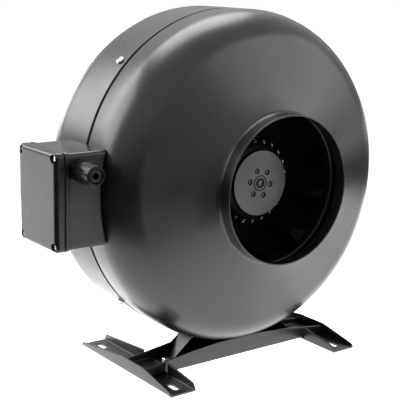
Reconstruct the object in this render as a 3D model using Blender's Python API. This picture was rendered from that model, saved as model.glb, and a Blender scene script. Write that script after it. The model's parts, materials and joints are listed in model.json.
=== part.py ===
"""Inline duct fan on a steel stand, with a wiring box on its side.

Metres, +Z up. The fan's axis runs along Y, AXIS_HEIGHT above the floor; air goes in at -Y and out at +Y.
The origin is on the floor under the axis. The wiring box is on the -X side.
"""

import math

import bmesh
import bpy
from mathutils import Vector

GAP = 0.0003

# Casing: two spun steel shells with a duct spigot each.
AXIS_HEIGHT = 0.195
CASING_RADIUS = 0.172
SHELL = 0.0012
SEAM_Y = -0.0054
SEAM_WIDTH = 0.0012
FRONT_CYLINDER_END = -0.0285
REAR_CYLINDER_END = 0.045
SHOULDER_RADIUS = 0.041
SHOULDER_TURN = math.radians(72.5)
SPIGOT_RADIUS = 0.075
COLLAR_RADIUS = 0.100
COLLAR_TURN = math.radians(64.0)
SPIGOT_FILLET = 0.005
FACE_TO_RIM = 0.0798
LAP = 0.0116
JOGGLE_RUN = 0.0016
CASING_SIDES = 52
RING_SIDES = 36
SHOULDER_STEPS = 6
FILLET_STEPS = 2

# Inlet nozzle, which guides the air into the impeller's eye.
NOZZLE_THROAT = 0.0766
NOZZLE_END_Y = -0.080

# Impeller: backward-curved blades between a shroud and a backplate.
IMPELLER_RADIUS = 0.1105
EYE_RADIUS = 0.0805
EYE_Y = -0.0815
SHROUD_BEND = 0.014
SHROUD_TURN = math.radians(65.0)
SHROUD_BEND_Y = -0.0765
BACKPLATE_Y = -0.0155
IMPELLER_SHEET = 0.0012
BLADE_COUNT = 11
BLADE_THICKNESS = 0.0014
BLADE_CLEARANCE = 0.0014
BLADE_ANGLE = math.radians(32.0)
BLADE_ROOT_FRONT = 0.083
BLADE_ROOT_BACK = 0.072
BLADE_TIP = 0.1095
BLADE_START = math.radians(15.7)

# External-rotor motor.
ROTOR_RADIUS = 0.0468
ROTOR_CAP_RADIUS = 0.0334
ROTOR_CAP_Y = -0.0635
ROTOR_SHOULDER_Y = -0.0465
ROTOR_REAR_Y = -0.0140
SHAFT_RADIUS = 0.0040
BEARING_BORE = 0.0043
BEARING_RADIUS = 0.0082
FLANGE_FRONT_Y = -0.0080
FLANGE_BACK_Y = -0.0050
FLANGE_RADIUS = 0.044

# Motor support: a round plate and four legs that end in tabs on the casing wall.
PLATE_BACK_Y = -0.0027
PLATE_RADIUS = 0.050
LEG_FRONT_Y = -0.0024
LEG_SHEET = 0.0015
LEG_WIDTH = 0.024
LEG_ROOT = 0.020
LEG_BEND = 0.0022
TAB_CLEARANCE = 0.0012
TAB_END_Y = 0.018
MOTOR_SCREW_CIRCLE = 0.036
CASING_SCREW_Y = 0.0075
DIAGONALS = [math.radians(45.0 + 90.0 * k) for k in range(4)]

# Motor lead, from the motor's flange through the casing wall into the wiring box.
LEAD_RADIUS = 0.0025
LEAD_EXIT_X = -0.026
LEAD_WALL_Y = 0.010
LEAD_HOLE_RADIUS = 0.0062

# Wiring box, in X from its lid to the casing wall.
BOX_FRONT_Y = -0.0404
BOX_BACK_Y = 0.0324
BOX_TOP = 0.0463
BOX_BOTTOM = -0.0474
LID_FACE_X = -0.2204
LID_BACK_X = -0.2115
BASE_FACE_X = -0.2099
BOX_WALL = 0.0024
RIM_STEP = 0.0012
RIM_DEPTH = 0.0045
POST_INSET = 0.0055
POST_REACH = 0.0093
POST_HOLE_RADIUS = 0.0022
LID_FLOOR = 0.0024
POCKET_DEPTH = 0.0042
POCKET_RADIUS = 0.0040

# Cable gland on the wiring box's front wall.
GLAND_X = -0.1942
GLAND_RISE = 0.028
GLAND_END_Y = -0.069
THREAD_RADIUS = 0.0074
THREAD_END_Y = -0.0595
SEAL_BORE = 0.0033
GLAND_SIDES = 18

# Stand: two channel feet along Y, a crossbar along X and a saddle strap under the casing.
PLATE = 0.002
FOOT_INNER = 0.092
FOOT_OUTER = 0.1225
FOOT_HALF_LENGTH = 0.085
SLOT_Y = 0.068
SLOT_LENGTH = 0.016
SLOT_WIDTH = 0.0065
GATE_CLEARANCE = 0.0025
RELIEF_X = 0.0965
RELIEF_Y = -0.0420
RELIEF_RADIUS = 0.0014
CROSSBAR_FRONT_Y = -0.036
CROSSBAR_BACK_Y = 0.005
CROSSBAR_HALF_LENGTH = 0.120
STRAP_FRONT_Y = -0.028
STRAP_BACK_Y = -0.006
STRAP_SHEET = 0.0015
STRAP_TOP_X = 0.057
STRAP_BOLT_X = 0.080
STRAP_FOOT_X = (0.0715, 0.0885)

# Screws.
SCREW_SIDES = 10
SCREW_HOLE_SIDES = 8

# Finishes: colour, roughness, metallic.
BLACK_POWDER = ((0.022, 0.022, 0.023), 0.42, 0.0)
BLACK_STEEL = ((0.028, 0.028, 0.029), 0.45, 0.2)
IMPELLER_BLACK = ((0.020, 0.020, 0.021), 0.50, 0.0)
ROTOR_GREY = ((0.075, 0.075, 0.078), 0.45, 0.3)
ZINC = ((0.62, 0.63, 0.64), 0.30, 1.0)
BRIGHT_STEEL = ((0.55, 0.56, 0.57), 0.25, 1.0)
CORE_STEEL = ((0.30, 0.30, 0.31), 0.45, 1.0)
COPPER = ((0.72, 0.33, 0.16), 0.35, 1.0)
BLACK_PLASTIC = ((0.025, 0.025, 0.026), 0.40, 0.0)
RUBBER = ((0.012, 0.012, 0.012), 0.75, 0.0)
PALE_PLASTIC = ((0.75, 0.75, 0.72), 0.45, 0.0)
CAN_ALUMINIUM = ((0.72, 0.73, 0.74), 0.35, 1.0)


def clear_scene():
    for obj in list(bpy.data.objects):
        bpy.data.objects.remove(obj, do_unlink=True)


def material(name, finish):
    colour, roughness, metallic = finish
    made = bpy.data.materials.new(name)
    made.use_nodes = True
    shader = made.node_tree.nodes["Principled BSDF"]
    shader.inputs["Base Color"].default_value = (*colour, 1.0)
    shader.inputs["Roughness"].default_value = roughness
    shader.inputs["Metallic"].default_value = metallic
    return made


def centre(name):
    """An empty on the fan's axis, which everything on that axis is placed from."""
    empty = bpy.data.objects.new(name, None)
    empty.location = (0.0, 0.0, AXIS_HEIGHT)
    bpy.context.scene.collection.objects.link(empty)
    return empty


def add(name, bm, finish, parent=None, smooth=False):
    mesh = bpy.data.meshes.new(name)
    bm.to_mesh(mesh)
    bm.free()
    obj = bpy.data.objects.new(name, mesh)
    bpy.context.scene.collection.objects.link(obj)
    obj.parent = parent
    if finish:
        mesh.materials.append(material(name, finish))
    if smooth:
        mesh.shade_smooth()
        mesh.set_sharp_from_angle(angle=math.radians(35.0))
    return obj


def cutter(name, bm, parent=None):
    obj = add(name, bm, None, parent)
    obj.hide_render = True
    obj.display_type = "WIRE"
    return obj


def cut(obj, tool):
    modifier = obj.modifiers.new(tool.name, "BOOLEAN")
    modifier.operation = "DIFFERENCE"
    modifier.solver = "EXACT"
    modifier.object = tool


def turned(profile, sides):
    """A closed outline of (y, radius) points turned about the Y axis."""
    bm = bmesh.new()
    points = [bm.verts.new((0.0, y, radius)) for y, radius in profile]
    edges = []
    for a, b in zip(points, points[1:] + points[:1]):
        if a.co.z > 0.0 or b.co.z > 0.0:
            edges.append(bm.edges.new((a, b)))
    bmesh.ops.spin(
        bm,
        geom=points + edges,
        cent=(0.0, 0.0, 0.0),
        axis=(0.0, 1.0, 0.0),
        angle=2.0 * math.pi,
        steps=sides,
        use_merge=True,
    )
    bmesh.ops.remove_doubles(bm, verts=bm.verts, dist=1e-6)
    bmesh.ops.recalc_face_normals(bm, faces=bm.faces)
    return bm


def ring(y_low, y_high, inner, outer, sides):
    return turned([(y_low, inner), (y_low, outer), (y_high, outer), (y_high, inner)], sides)


def disc(y_low, y_high, radius, sides):
    return turned([(y_low, 0.0), (y_low, radius), (y_high, radius), (y_high, 0.0)], sides)


def aimed(bm, direction, origin):
    """The same shape with its +Y turned to this direction, moved to this origin."""
    turn = Vector((0.0, 1.0, 0.0)).rotation_difference(Vector(direction)).to_matrix().to_4x4()
    bmesh.ops.transform(bm, matrix=turn, verts=bm.verts)
    bmesh.ops.translate(bm, vec=Vector(origin), verts=bm.verts)
    return bm


def loft(sections):
    """A closed body through sections that have the same number of points each."""
    bm = bmesh.new()
    loops = [[bm.verts.new(point) for point in section] for section in sections]
    for first, second in zip(loops, loops[1:]):
        for k in range(len(first)):
            after = (k + 1) % len(first)
            bm.faces.new((first[k], first[after], second[after], second[k]))
    bm.faces.new(loops[0])
    bm.faces.new(loops[-1])
    bmesh.ops.recalc_face_normals(bm, faces=bm.faces)
    return bm


def along(axis, position, outline):
    """An outline's points placed across this axis: (y, z) across X, (x, z) across Y, (x, y) across Z."""
    if axis == "X":
        return [(position, a, b) for a, b in outline]
    if axis == "Y":
        return [(a, position, b) for a, b in outline]
    return [(a, b, position) for a, b in outline]


def prism(axis, low, high, outline):
    return loft([along(axis, low, outline), along(axis, high, outline)])


def rectangle(low, high):
    return [(low[0], low[1]), (high[0], low[1]), (high[0], high[1]), (low[0], high[1])]


def rounded_rectangle(low, high, radius, steps=2):
    points = []
    corners = [high, (low[0], high[1]), low, (high[0], low[1])]
    for quarter, (a, b) in enumerate(corners):
        inward_a = a - math.copysign(radius, a - (low[0] + high[0]) / 2.0)
        inward_b = b - math.copysign(radius, b - (low[1] + high[1]) / 2.0)
        for k in range(steps + 1):
            angle = math.pi / 2.0 * (quarter + k / steps)
            points.append((inward_a + radius * math.cos(angle), inward_b + radius * math.sin(angle)))
    return points


def offset_path(path, distance):
    """The open path moved to its left by this distance, with its corners kept sharp."""
    steps = [(Vector(b) - Vector(a)).normalized() for a, b in zip(path, path[1:])]
    moved = []
    for k, point in enumerate(path):
        before = steps[max(k - 1, 0)]
        after = steps[min(k, len(steps) - 1)]
        mean = (before + after).normalized()
        left = Vector((-mean.y, mean.x))
        stretch = 1.0 / max(0.2, mean.dot(after))
        moved.append(tuple(Vector(point) + left * distance * stretch))
    return moved


def sheet(path, thickness):
    """The closed outline of a sheet of this thickness, on the left of an open path."""
    return path + offset_path(path, thickness)[::-1]


def arc(middle, radius, start, turn, steps):
    """Points on an arc, from the angle start through turn, in radians."""
    angles = [start + turn * k / steps for k in range(steps + 1)]
    return [(middle[0] + radius * math.cos(a), middle[1] + radius * math.sin(a)) for a in angles]


def interpolate(table, value):
    """The height of a line through (position, height) points, at this position."""
    for (x0, h0), (x1, h1) in zip(table, table[1:]):
        if x0 <= value <= x1:
            return h0 + (h1 - h0) * (value - x0) / (x1 - x0)
    return table[-1][1]


def shell_path(cylinder_end, outward):
    """The outside of a shell past its cylinder, as (y, radius): shoulder, cone, collar and spigot."""
    path = []
    middle_radius = CASING_RADIUS - SHOULDER_RADIUS
    for k in range(SHOULDER_STEPS + 1):
        turn = SHOULDER_TURN * k / SHOULDER_STEPS
        rise = SHOULDER_RADIUS * math.sin(turn)
        path.append((rise, middle_radius + SHOULDER_RADIUS * math.cos(turn)))
    depth, radius = path[-1]
    depth += (radius - COLLAR_RADIUS) / math.tan(SHOULDER_TURN)
    path.append((depth, COLLAR_RADIUS))
    fillet_start = SPIGOT_RADIUS + SPIGOT_FILLET * (1.0 - math.cos(COLLAR_TURN))
    depth += (COLLAR_RADIUS - fillet_start) / math.tan(COLLAR_TURN)
    fillet_end = depth + SPIGOT_FILLET * math.sin(COLLAR_TURN)
    for k in range(FILLET_STEPS + 1):
        turn = COLLAR_TURN * (1.0 - k / FILLET_STEPS)
        radius = SPIGOT_RADIUS + SPIGOT_FILLET * (1.0 - math.cos(turn))
        path.append((fillet_end - SPIGOT_FILLET * math.sin(turn), radius))
    path.append((FACE_TO_RIM, SPIGOT_RADIUS))
    return [(cylinder_end + outward * depth, radius) for depth, radius in path]


def make_front_shell(axis):
    """The inlet shell: its outside from the seam to the rim, and back along the inside."""
    path = [(SEAM_Y - SEAM_WIDTH / 2.0, CASING_RADIUS)] + shell_path(FRONT_CYLINDER_END, -1.0)
    add("front_shell", turned(sheet(path, SHELL), CASING_SIDES), BLACK_POWDER, axis, True)


def make_rear_shell(axis, tools):
    """The outlet shell. Its edge is stepped inwards at the seam, so that the front shell laps over it."""
    step = SHELL + GAP
    joggle_start = SEAM_Y + SEAM_WIDTH / 2.0
    path = [
        (SEAM_Y - SEAM_WIDTH / 2.0 - LAP, CASING_RADIUS - step),
        (joggle_start, CASING_RADIUS - step),
        (joggle_start + JOGGLE_RUN, CASING_RADIUS),
    ]
    path += shell_path(REAR_CYLINDER_END, 1.0)
    outline = path + offset_path(path, -SHELL)[::-1]
    shell = add("rear_shell", turned(outline, CASING_SIDES), BLACK_POWDER, axis, True)
    for tool in tools:
        cut(shell, tool)


def radial(angle, distance):
    return (distance * math.cos(angle), distance * math.sin(angle))


def pan_screw(tip, seat, shank_radius, head_radius, head_height):
    """The outline of a screw from its tip to its domed head, which sits on the seat."""
    return [
        (tip, 0.0),
        (tip, shank_radius),
        (seat, shank_radius),
        (seat, head_radius),
        (seat + 0.5 * head_height, 0.95 * head_radius),
        (seat + 0.9 * head_height, 0.62 * head_radius),
        (seat + head_height, 0.0),
    ]


def make_casing_screws(axis):
    """Pan-head screws through the rear shell into the tabs of the motor support."""
    profile = pan_screw(CASING_RADIUS - 0.0065, CASING_RADIUS + GAP, 0.0019, 0.0042, 0.0027)
    for k, angle in enumerate(DIAGONALS):
        outward = (math.cos(angle), 0.0, math.sin(angle))
        bm = aimed(turned(profile, SCREW_SIDES), outward, (0.0, CASING_SCREW_Y, 0.0))
        add(f"casing_screw_{k + 1}", bm, ZINC, axis, True)


def make_inlet_nozzle(axis):
    """A flared ring spot-welded inside the front shell, which ends in the impeller's eye."""
    path = [(-0.0807, 0.0960), (-0.0858, 0.0800), (-0.0851, 0.0774)]
    path += [(-0.0832, NOZZLE_THROAT), (NOZZLE_END_Y, 0.0774)]
    add("inlet_nozzle", turned(sheet(path, 0.0010), RING_SIDES), BLACK_POWDER, axis, True)


def shroud_y(radius):
    """Where the shroud's inner face is at this radius."""
    bend_radius = EYE_RADIUS + SHROUD_BEND * (1.0 - math.cos(SHROUD_TURN))
    if radius >= bend_radius:
        bend_end = SHROUD_BEND_Y + SHROUD_BEND * math.sin(SHROUD_TURN)
        return bend_end + (radius - bend_radius) / math.tan(SHROUD_TURN)
    turn = math.acos(1.0 - (radius - EYE_RADIUS) / SHROUD_BEND)
    return SHROUD_BEND_Y + SHROUD_BEND * math.sin(turn)


def make_shroud(hub):
    path = [(EYE_Y, EYE_RADIUS)]
    for k in range(4):
        turn = SHROUD_TURN * k / 3
        depth = SHROUD_BEND_Y + SHROUD_BEND * math.sin(turn)
        path.append((depth, EYE_RADIUS + SHROUD_BEND * (1.0 - math.cos(turn))))
    path.append((shroud_y(IMPELLER_RADIUS), IMPELLER_RADIUS))
    add("impeller_shroud", turned(sheet(path, IMPELLER_SHEET), RING_SIDES), IMPELLER_BLACK, hub, True)


def make_backplate(hub):
    """A flat disc with a collar that sits round the rotor."""
    bore = ROTOR_RADIUS + GAP
    path = [
        (BACKPLATE_Y - 0.0105, bore),
        (BACKPLATE_Y - 0.0020, bore),
        (BACKPLATE_Y, bore + 0.0020),
        (BACKPLATE_Y, IMPELLER_RADIUS),
    ]
    add("impeller_backplate", turned(sheet(path, IMPELLER_SHEET), RING_SIDES), IMPELLER_BLACK, hub, True)


def blade_point(radius, start, side):
    """A point of the blade's spiral, moved to one side by half the blade's thickness."""
    angle = start + math.log(radius / BLADE_TIP) / math.tan(BLADE_ANGLE)
    outward = Vector((math.cos(angle), math.sin(angle)))
    across = Vector((-outward.y, outward.x))
    along_blade = outward * math.sin(BLADE_ANGLE) + across * math.cos(BLADE_ANGLE)
    normal = Vector((-along_blade.y, along_blade.x))
    return outward * radius + normal * side * BLADE_THICKNESS / 2.0


def make_blades(hub):
    """Blades that lean away from the turning direction, clockwise as seen from the inlet."""
    back_y = BACKPLATE_Y - IMPELLER_SHEET - GAP
    for blade in range(BLADE_COUNT):
        start = 2.0 * math.pi * blade / BLADE_COUNT + BLADE_START
        sections = []
        for k in range(6):
            front_radius = BLADE_ROOT_FRONT + (BLADE_TIP - BLADE_ROOT_FRONT) * k / 5
            back_radius = BLADE_ROOT_BACK + (BLADE_TIP - BLADE_ROOT_BACK) * k / 5
            front_y = shroud_y(front_radius) + BLADE_CLEARANCE
            section = []
            for radius, y, side in (
                (front_radius, front_y, 1.0),
                (front_radius, front_y, -1.0),
                (back_radius, back_y, -1.0),
                (back_radius, back_y, 1.0),
            ):
                point = blade_point(radius, start, side)
                section.append((point.x, y, point.y))
            sections.append(section)
        add(f"impeller_blade_{blade + 1:02d}", loft(sections), IMPELLER_BLACK, hub, True)


def make_rotor(hub):
    """The motor's rotor: a cup that turns round the stator, with its cap towards the inlet."""
    wall = 0.0018
    cap_inside = ROTOR_CAP_Y + 0.0023
    profile = [
        (ROTOR_CAP_Y, 0.0),
        (ROTOR_CAP_Y, ROTOR_CAP_RADIUS),
        (ROTOR_CAP_Y + 0.0035, ROTOR_CAP_RADIUS + 0.0004),
        (ROTOR_CAP_Y + 0.0060, ROTOR_CAP_RADIUS + 0.0040),
        (ROTOR_SHOULDER_Y - 0.0026, ROTOR_RADIUS - 0.0012),
        (ROTOR_SHOULDER_Y, ROTOR_RADIUS),
        (ROTOR_REAR_Y, ROTOR_RADIUS),
        (ROTOR_REAR_Y, ROTOR_RADIUS - wall),
        (ROTOR_SHOULDER_Y + 0.0012, ROTOR_RADIUS - wall),
        (ROTOR_SHOULDER_Y - 0.0012, ROTOR_RADIUS - wall - 0.0014),
        (cap_inside + 0.0050, ROTOR_CAP_RADIUS + 0.0024),
        (cap_inside, ROTOR_CAP_RADIUS - 0.0015),
        (cap_inside, 0.0085),
        (cap_inside + 0.0072, 0.0080),
        (cap_inside + 0.0072, SHAFT_RADIUS + GAP),
        (cap_inside + 0.0012, SHAFT_RADIUS + GAP),
        (cap_inside + 0.0012, 0.0),
    ]
    add("rotor_cup", turned(profile, RING_SIDES), ROTOR_GREY, hub, True)
    laminations = ring(-0.0430, -0.0180, 0.0380, ROTOR_RADIUS - wall - 0.0005, 24)
    add("rotor_laminations", laminations, CORE_STEEL, hub, True)
    shaft = disc(cap_inside + 0.0015, FLANGE_BACK_Y - 0.0006, SHAFT_RADIUS, 16)
    add("motor_shaft", shaft, BRIGHT_STEEL, hub, True)
    clip = ring(FLANGE_FRONT_Y + 0.0006, FLANGE_FRONT_Y + 0.0016, SHAFT_RADIUS + GAP, 0.0066, 16)
    add("shaft_clip", clip, BRIGHT_STEEL, hub, True)


def make_stator(axis, screw_holes, lead_hole):
    """The motor's fixed half: a flanged bearing tube that carries the core and its windings."""
    tube = BEARING_RADIUS + GAP
    profile = [
        (-0.0520, tube),
        (-0.0520, 0.0122),
        (FLANGE_FRONT_Y, 0.0122),
        (FLANGE_FRONT_Y, FLANGE_RADIUS),
        (FLANGE_BACK_Y, FLANGE_RADIUS),
        (FLANGE_BACK_Y, tube),
    ]
    flange = add("stator_flange", turned(profile, 24), CAN_ALUMINIUM, axis, True)
    for hole in screw_holes + [lead_hole]:
        cut(flange, hole)
    add("stator_core", ring(-0.0420, -0.0190, 0.0127, 0.0373, 24), CORE_STEEL, axis, True)
    for name, low, high in (
        ("winding_front", -0.0515, -0.0423),
        ("winding_rear", -0.0187, -0.0100),
    ):
        rounded = [(low, 0.020), (low, 0.031), (low + 0.002, 0.034)]
        rounded += [(high, 0.034), (high, 0.0175), (low + 0.002, 0.0175)]
        add(name, turned(rounded, 16), COPPER, axis, True)
    for name, low in (("bearing_front", -0.0515), ("bearing_rear", -0.0140)):
        add(name, ring(low, low + 0.0060, BEARING_BORE, BEARING_RADIUS, 16), BRIGHT_STEEL, axis, True)


def make_motor_support(axis, screw_holes, lead_hole):
    """The round plate behind the motor, its four legs, and the screws that hold the motor to them."""
    plate = disc(FLANGE_BACK_Y + GAP, PLATE_BACK_Y, PLATE_RADIUS, 24)
    plate = add("motor_plate", plate, BLACK_STEEL, axis, True)
    for hole in screw_holes + [lead_hole]:
        cut(plate, hole)
    back_y = LEG_FRONT_Y + LEG_SHEET
    tab_radius = CASING_RADIUS - SHELL - TAB_CLEARANCE - LEG_SHEET
    path = [(LEG_ROOT, back_y), (tab_radius - LEG_BEND, back_y)]
    path += [(tab_radius, back_y + LEG_BEND), (tab_radius, TAB_END_Y)]
    outline = path + offset_path(path, -LEG_SHEET)[::-1]
    screw_profile = pan_screw(-0.0072, back_y + GAP, 0.0020, 0.0038, 0.0023)
    for k, angle in enumerate(DIAGONALS):
        out = Vector((math.cos(angle), 0.0, math.sin(angle)))
        side = Vector((-out.z, 0.0, out.x)) * (LEG_WIDTH / 2.0)
        sections = []
        for sign in (-1.0, 1.0):
            middle = side * sign
            sections.append([out * reach + middle + Vector((0.0, y, 0.0)) for reach, y in outline])
        leg = add(f"bracket_leg_{k + 1}", loft(sections), BLACK_STEEL, axis)
        cut(leg, screw_holes[k])
        tab_hole = disc(CASING_RADIUS - 0.02, CASING_RADIUS + 0.01, 0.0024, SCREW_HOLE_SIDES)
        tab_hole = aimed(tab_hole, out, (0.0, CASING_SCREW_Y, 0.0))
        cut(leg, cutter(f"tab_hole_{k + 1}", tab_hole, axis))
        x, z = radial(angle, MOTOR_SCREW_CIRCLE)
        screw = aimed(turned(screw_profile, SCREW_SIDES), (0.0, 1.0, 0.0), (x, 0.0, z))
        add(f"motor_screw_{k + 1}", screw, ZINC, axis, True)


def smooth_route(points, spacing):
    """Evenly spread points on a Catmull-Rom curve through these points."""
    route = [Vector(p) for p in points]
    route = [2 * route[0] - route[1]] + route + [2 * route[-1] - route[-2]]
    fine = []
    for a, b, c, d in zip(route, route[1:], route[2:], route[3:]):
        steps = max(2, round((c - b).length / spacing))
        for k in range(steps):
            t = k / steps
            square = (a * 2 - b * 5 + c * 4 - d) * t * t
            cube = (b * 3 - a - c * 3 + d) * t * t * t
            fine.append((b * 2 + (c - a) * t + square + cube) / 2)
    return fine + [route[-2]]


def make_lead(axis):
    """The motor's own lead: out of the flange, across behind the impeller, into the wiring box."""
    route = [
        (LEAD_EXIT_X, -0.0088, 0.0),
        (LEAD_EXIT_X, 0.0060, 0.0),
        (-0.0340, 0.0210, 0.0),
        (-0.0530, 0.0290, 0.0),
        (-0.0800, 0.0280, 0.0),
        (-0.1120, 0.0190, 0.0),
        (-0.1400, 0.0122, 0.0),
        (-0.1600, LEAD_WALL_Y, 0.0),
        (-0.1740, LEAD_WALL_Y, 0.0),
        (-0.1880, LEAD_WALL_Y, 0.0),
    ]
    points = smooth_route(route, 0.010)
    curve = bpy.data.curves.new("motor_lead", "CURVE")
    curve.dimensions = "3D"
    curve.bevel_depth = LEAD_RADIUS
    curve.bevel_resolution = 2
    curve.use_fill_caps = True
    spline = curve.splines.new("POLY")
    spline.points.add(len(points) - 1)
    for target, point in zip(spline.points, points):
        target.co = (*point, 1.0)
    curve.materials.append(material("motor_lead", RUBBER))
    lead = bpy.data.objects.new("motor_lead", curve)
    bpy.context.scene.collection.objects.link(lead)
    lead.parent = axis

    bore = LEAD_RADIUS + GAP + 0.0002
    neck = LEAD_HOLE_RADIUS - 0.0004
    inside = CASING_RADIUS - SHELL - 0.0006
    outside = CASING_RADIUS + 0.0031
    profile = [
        (inside - 0.0022, bore),
        (inside - 0.0020, 0.0085),
        (inside, 0.0090),
        (inside, neck),
        (outside, neck),
        (outside, 0.0090),
        (outside + 0.0020, 0.0085),
        (outside + 0.0022, bore),
    ]
    grommet = aimed(turned(profile, 16), (-1.0, 0.0, 0.0), (0.0, LEAD_WALL_Y, 0.0))
    add("lead_grommet", grommet, RUBBER, axis, True)


def box_outline(inset, radius):
    low = (BOX_FRONT_Y + inset, BOX_BOTTOM + inset)
    high = (BOX_BACK_Y - inset, BOX_TOP - inset)
    return rounded_rectangle(low, high, radius)


def cavity_outline(inset):
    """The inside of the wiring box: a rectangle whose four corners are left for the screw posts."""
    y0, y1 = BOX_FRONT_Y + inset, BOX_BACK_Y - inset
    z0, z1 = BOX_BOTTOM + inset, BOX_TOP - inset
    reach = POST_REACH - inset
    points = []
    for k, (y, z) in enumerate([(y0, z0), (y1, z0), (y1, z1), (y0, z1)]):
        inner_y = y + math.copysign(reach, -y)
        inner_z = z + math.copysign(reach, -z)
        corner = [(y, inner_z), (inner_y, inner_z), (inner_y, z)]
        points += corner if k % 2 == 0 else corner[::-1]
    return points


def post_centres():
    ys = (BOX_FRONT_Y + POST_INSET, BOX_BACK_Y - POST_INSET)
    zs = (BOX_BOTTOM + POST_INSET, BOX_TOP - POST_INSET)
    return [(y, z) for z in zs for y in ys]


def make_box_base(axis, lead_hole):
    """The wiring box's body, hollowed out, with a back that follows the casing's curve."""
    sections = [
        along("X", BASE_FACE_X, box_outline(0.0, 0.0050)),
        along("X", BASE_FACE_X + RIM_DEPTH, box_outline(0.0, 0.0050)),
        along("X", BASE_FACE_X + RIM_DEPTH + 0.0006, box_outline(RIM_STEP, 0.0040)),
        along("X", -0.1600, box_outline(RIM_STEP, 0.0040)),
    ]
    base = add("box_base", loft(sections), BLACK_PLASTIC, axis)
    casing = disc(BOX_FRONT_Y - 0.02, BOX_BACK_Y + 0.02, CASING_RADIUS + 0.0007, CASING_SIDES)
    cut(base, cutter("casing_clearance", casing, axis))
    floor = disc(BOX_FRONT_Y - 0.03, BOX_BACK_Y + 0.03, CASING_RADIUS + 0.0030, CASING_SIDES)
    inside = prism("X", BASE_FACE_X - 0.002, -0.1500, cavity_outline(RIM_STEP + BOX_WALL))
    inside = cutter("box_inside", inside, axis)
    cut(inside, cutter("box_floor", floor, axis))
    cut(base, inside)
    cut(base, lead_hole)
    gland_hole = disc(BOX_FRONT_Y - 0.01, BOX_FRONT_Y + 0.006, THREAD_RADIUS + 0.0004, GLAND_SIDES)
    gland_hole = aimed(gland_hole, (0.0, 1.0, 0.0), (GLAND_X, 0.0, GLAND_RISE))
    cut(base, cutter("gland_hole", gland_hole, axis))
    for k, (y, z) in enumerate(post_centres()):
        hole = disc(-BASE_FACE_X - 0.0139, -BASE_FACE_X + 0.005, POST_HOLE_RADIUS, SCREW_HOLE_SIDES)
        hole = aimed(hole, (-1.0, 0.0, 0.0), (0.0, y, z))
        cut(base, cutter(f"post_hole_{k + 1}", hole, axis))


def make_box_gasket(axis):
    outer = along("X", BASE_FACE_X - GAP, box_outline(0.0010, 0.0045))
    gasket = loft([outer, along("X", LID_BACK_X + GAP, box_outline(0.0010, 0.0045))])
    gasket = add("box_gasket", gasket, RUBBER, axis)
    hole = prism("X", LID_BACK_X - 0.001, BASE_FACE_X + 0.001, box_outline(0.0032, 0.0030))
    cut(gasket, cutter("gasket_hole", hole, axis))


def make_box_lid(axis):
    """A hollow lid with rounded edges and a round pocket for a screw in each corner."""
    sections = []
    for depth, inset, radius in (
        (LID_FACE_X - LID_BACK_X, 0.0034, 0.0024),
        (-0.0086, 0.0020, 0.0034),
        (-0.0075, 0.0008, 0.0044),
        (-0.0058, 0.0, 0.0050),
        (0.0, 0.0, 0.0050),
    ):
        sections.append(along("X", LID_BACK_X + depth, box_outline(inset, radius)))
    lid = add("box_lid", loft(sections), BLACK_PLASTIC, axis)
    inside = cavity_outline(RIM_STEP + BOX_WALL)
    recess = prism("X", LID_FACE_X + LID_FLOOR, LID_BACK_X + 0.002, inside)
    cut(lid, cutter("lid_recess", recess, axis))
    for k, (y, z) in enumerate(post_centres()):
        pocket = disc(-LID_FACE_X - POCKET_DEPTH, -LID_FACE_X + 0.002, POCKET_RADIUS, 10)
        pocket = aimed(pocket, (-1.0, 0.0, 0.0), (0.0, y, z))
        cut(lid, cutter(f"lid_pocket_{k + 1}", pocket, axis))
        hole = disc(-LID_BACK_X - 0.003, -LID_FACE_X, POST_HOLE_RADIUS, SCREW_HOLE_SIDES)
        hole = aimed(hole, (-1.0, 0.0, 0.0), (0.0, y, z))
        cut(lid, cutter(f"lid_hole_{k + 1}", hole, axis))


def make_lid_screws(axis):
    profile = pan_screw(0.1990, -LID_FACE_X - POCKET_DEPTH + GAP, 0.0018, 0.0034, 0.0021)
    for k, (y, z) in enumerate(post_centres()):
        screw = aimed(turned(profile, SCREW_SIDES), (-1.0, 0.0, 0.0), (0.0, y, z))
        add(f"lid_screw_{k + 1}", screw, ZINC, axis, True)


def make_box_contents(axis):
    """The terminal strip and the motor's run capacitor."""
    block = [(-0.1900, 0.0185), (-0.1860, 0.0160), (-0.1757, 0.0160)]
    block += [(-0.1757, 0.0340), (-0.1860, 0.0340), (-0.1900, 0.0315)]
    add("terminal_block", prism("Y", -0.0140, 0.0240, block), PALE_PLASTIC, axis)
    can = [
        (0.0, 0.0),
        (0.0, 0.0108),
        (0.0014, 0.0120),
        (0.0320, 0.0120),
        (0.0330, 0.0112),
        (0.0330, 0.0040),
        (0.0350, 0.0040),
        (0.0350, 0.0),
    ]
    can = aimed(turned(can, 16), (0.0, 0.0, 1.0), (-0.1915, 0.0090, -0.0420))
    add("capacitor", can, CAN_ALUMINIUM, axis, True)


def hexagon(across_flats):
    radius = across_flats / math.sqrt(3.0)
    turns = [k * math.pi / 3.0 for k in range(6)]
    return [(radius * math.sin(turn), radius * math.cos(turn)) for turn in turns]


def shifted(outline, a, b):
    return [(p + a, q + b) for p, q in outline]


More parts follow.
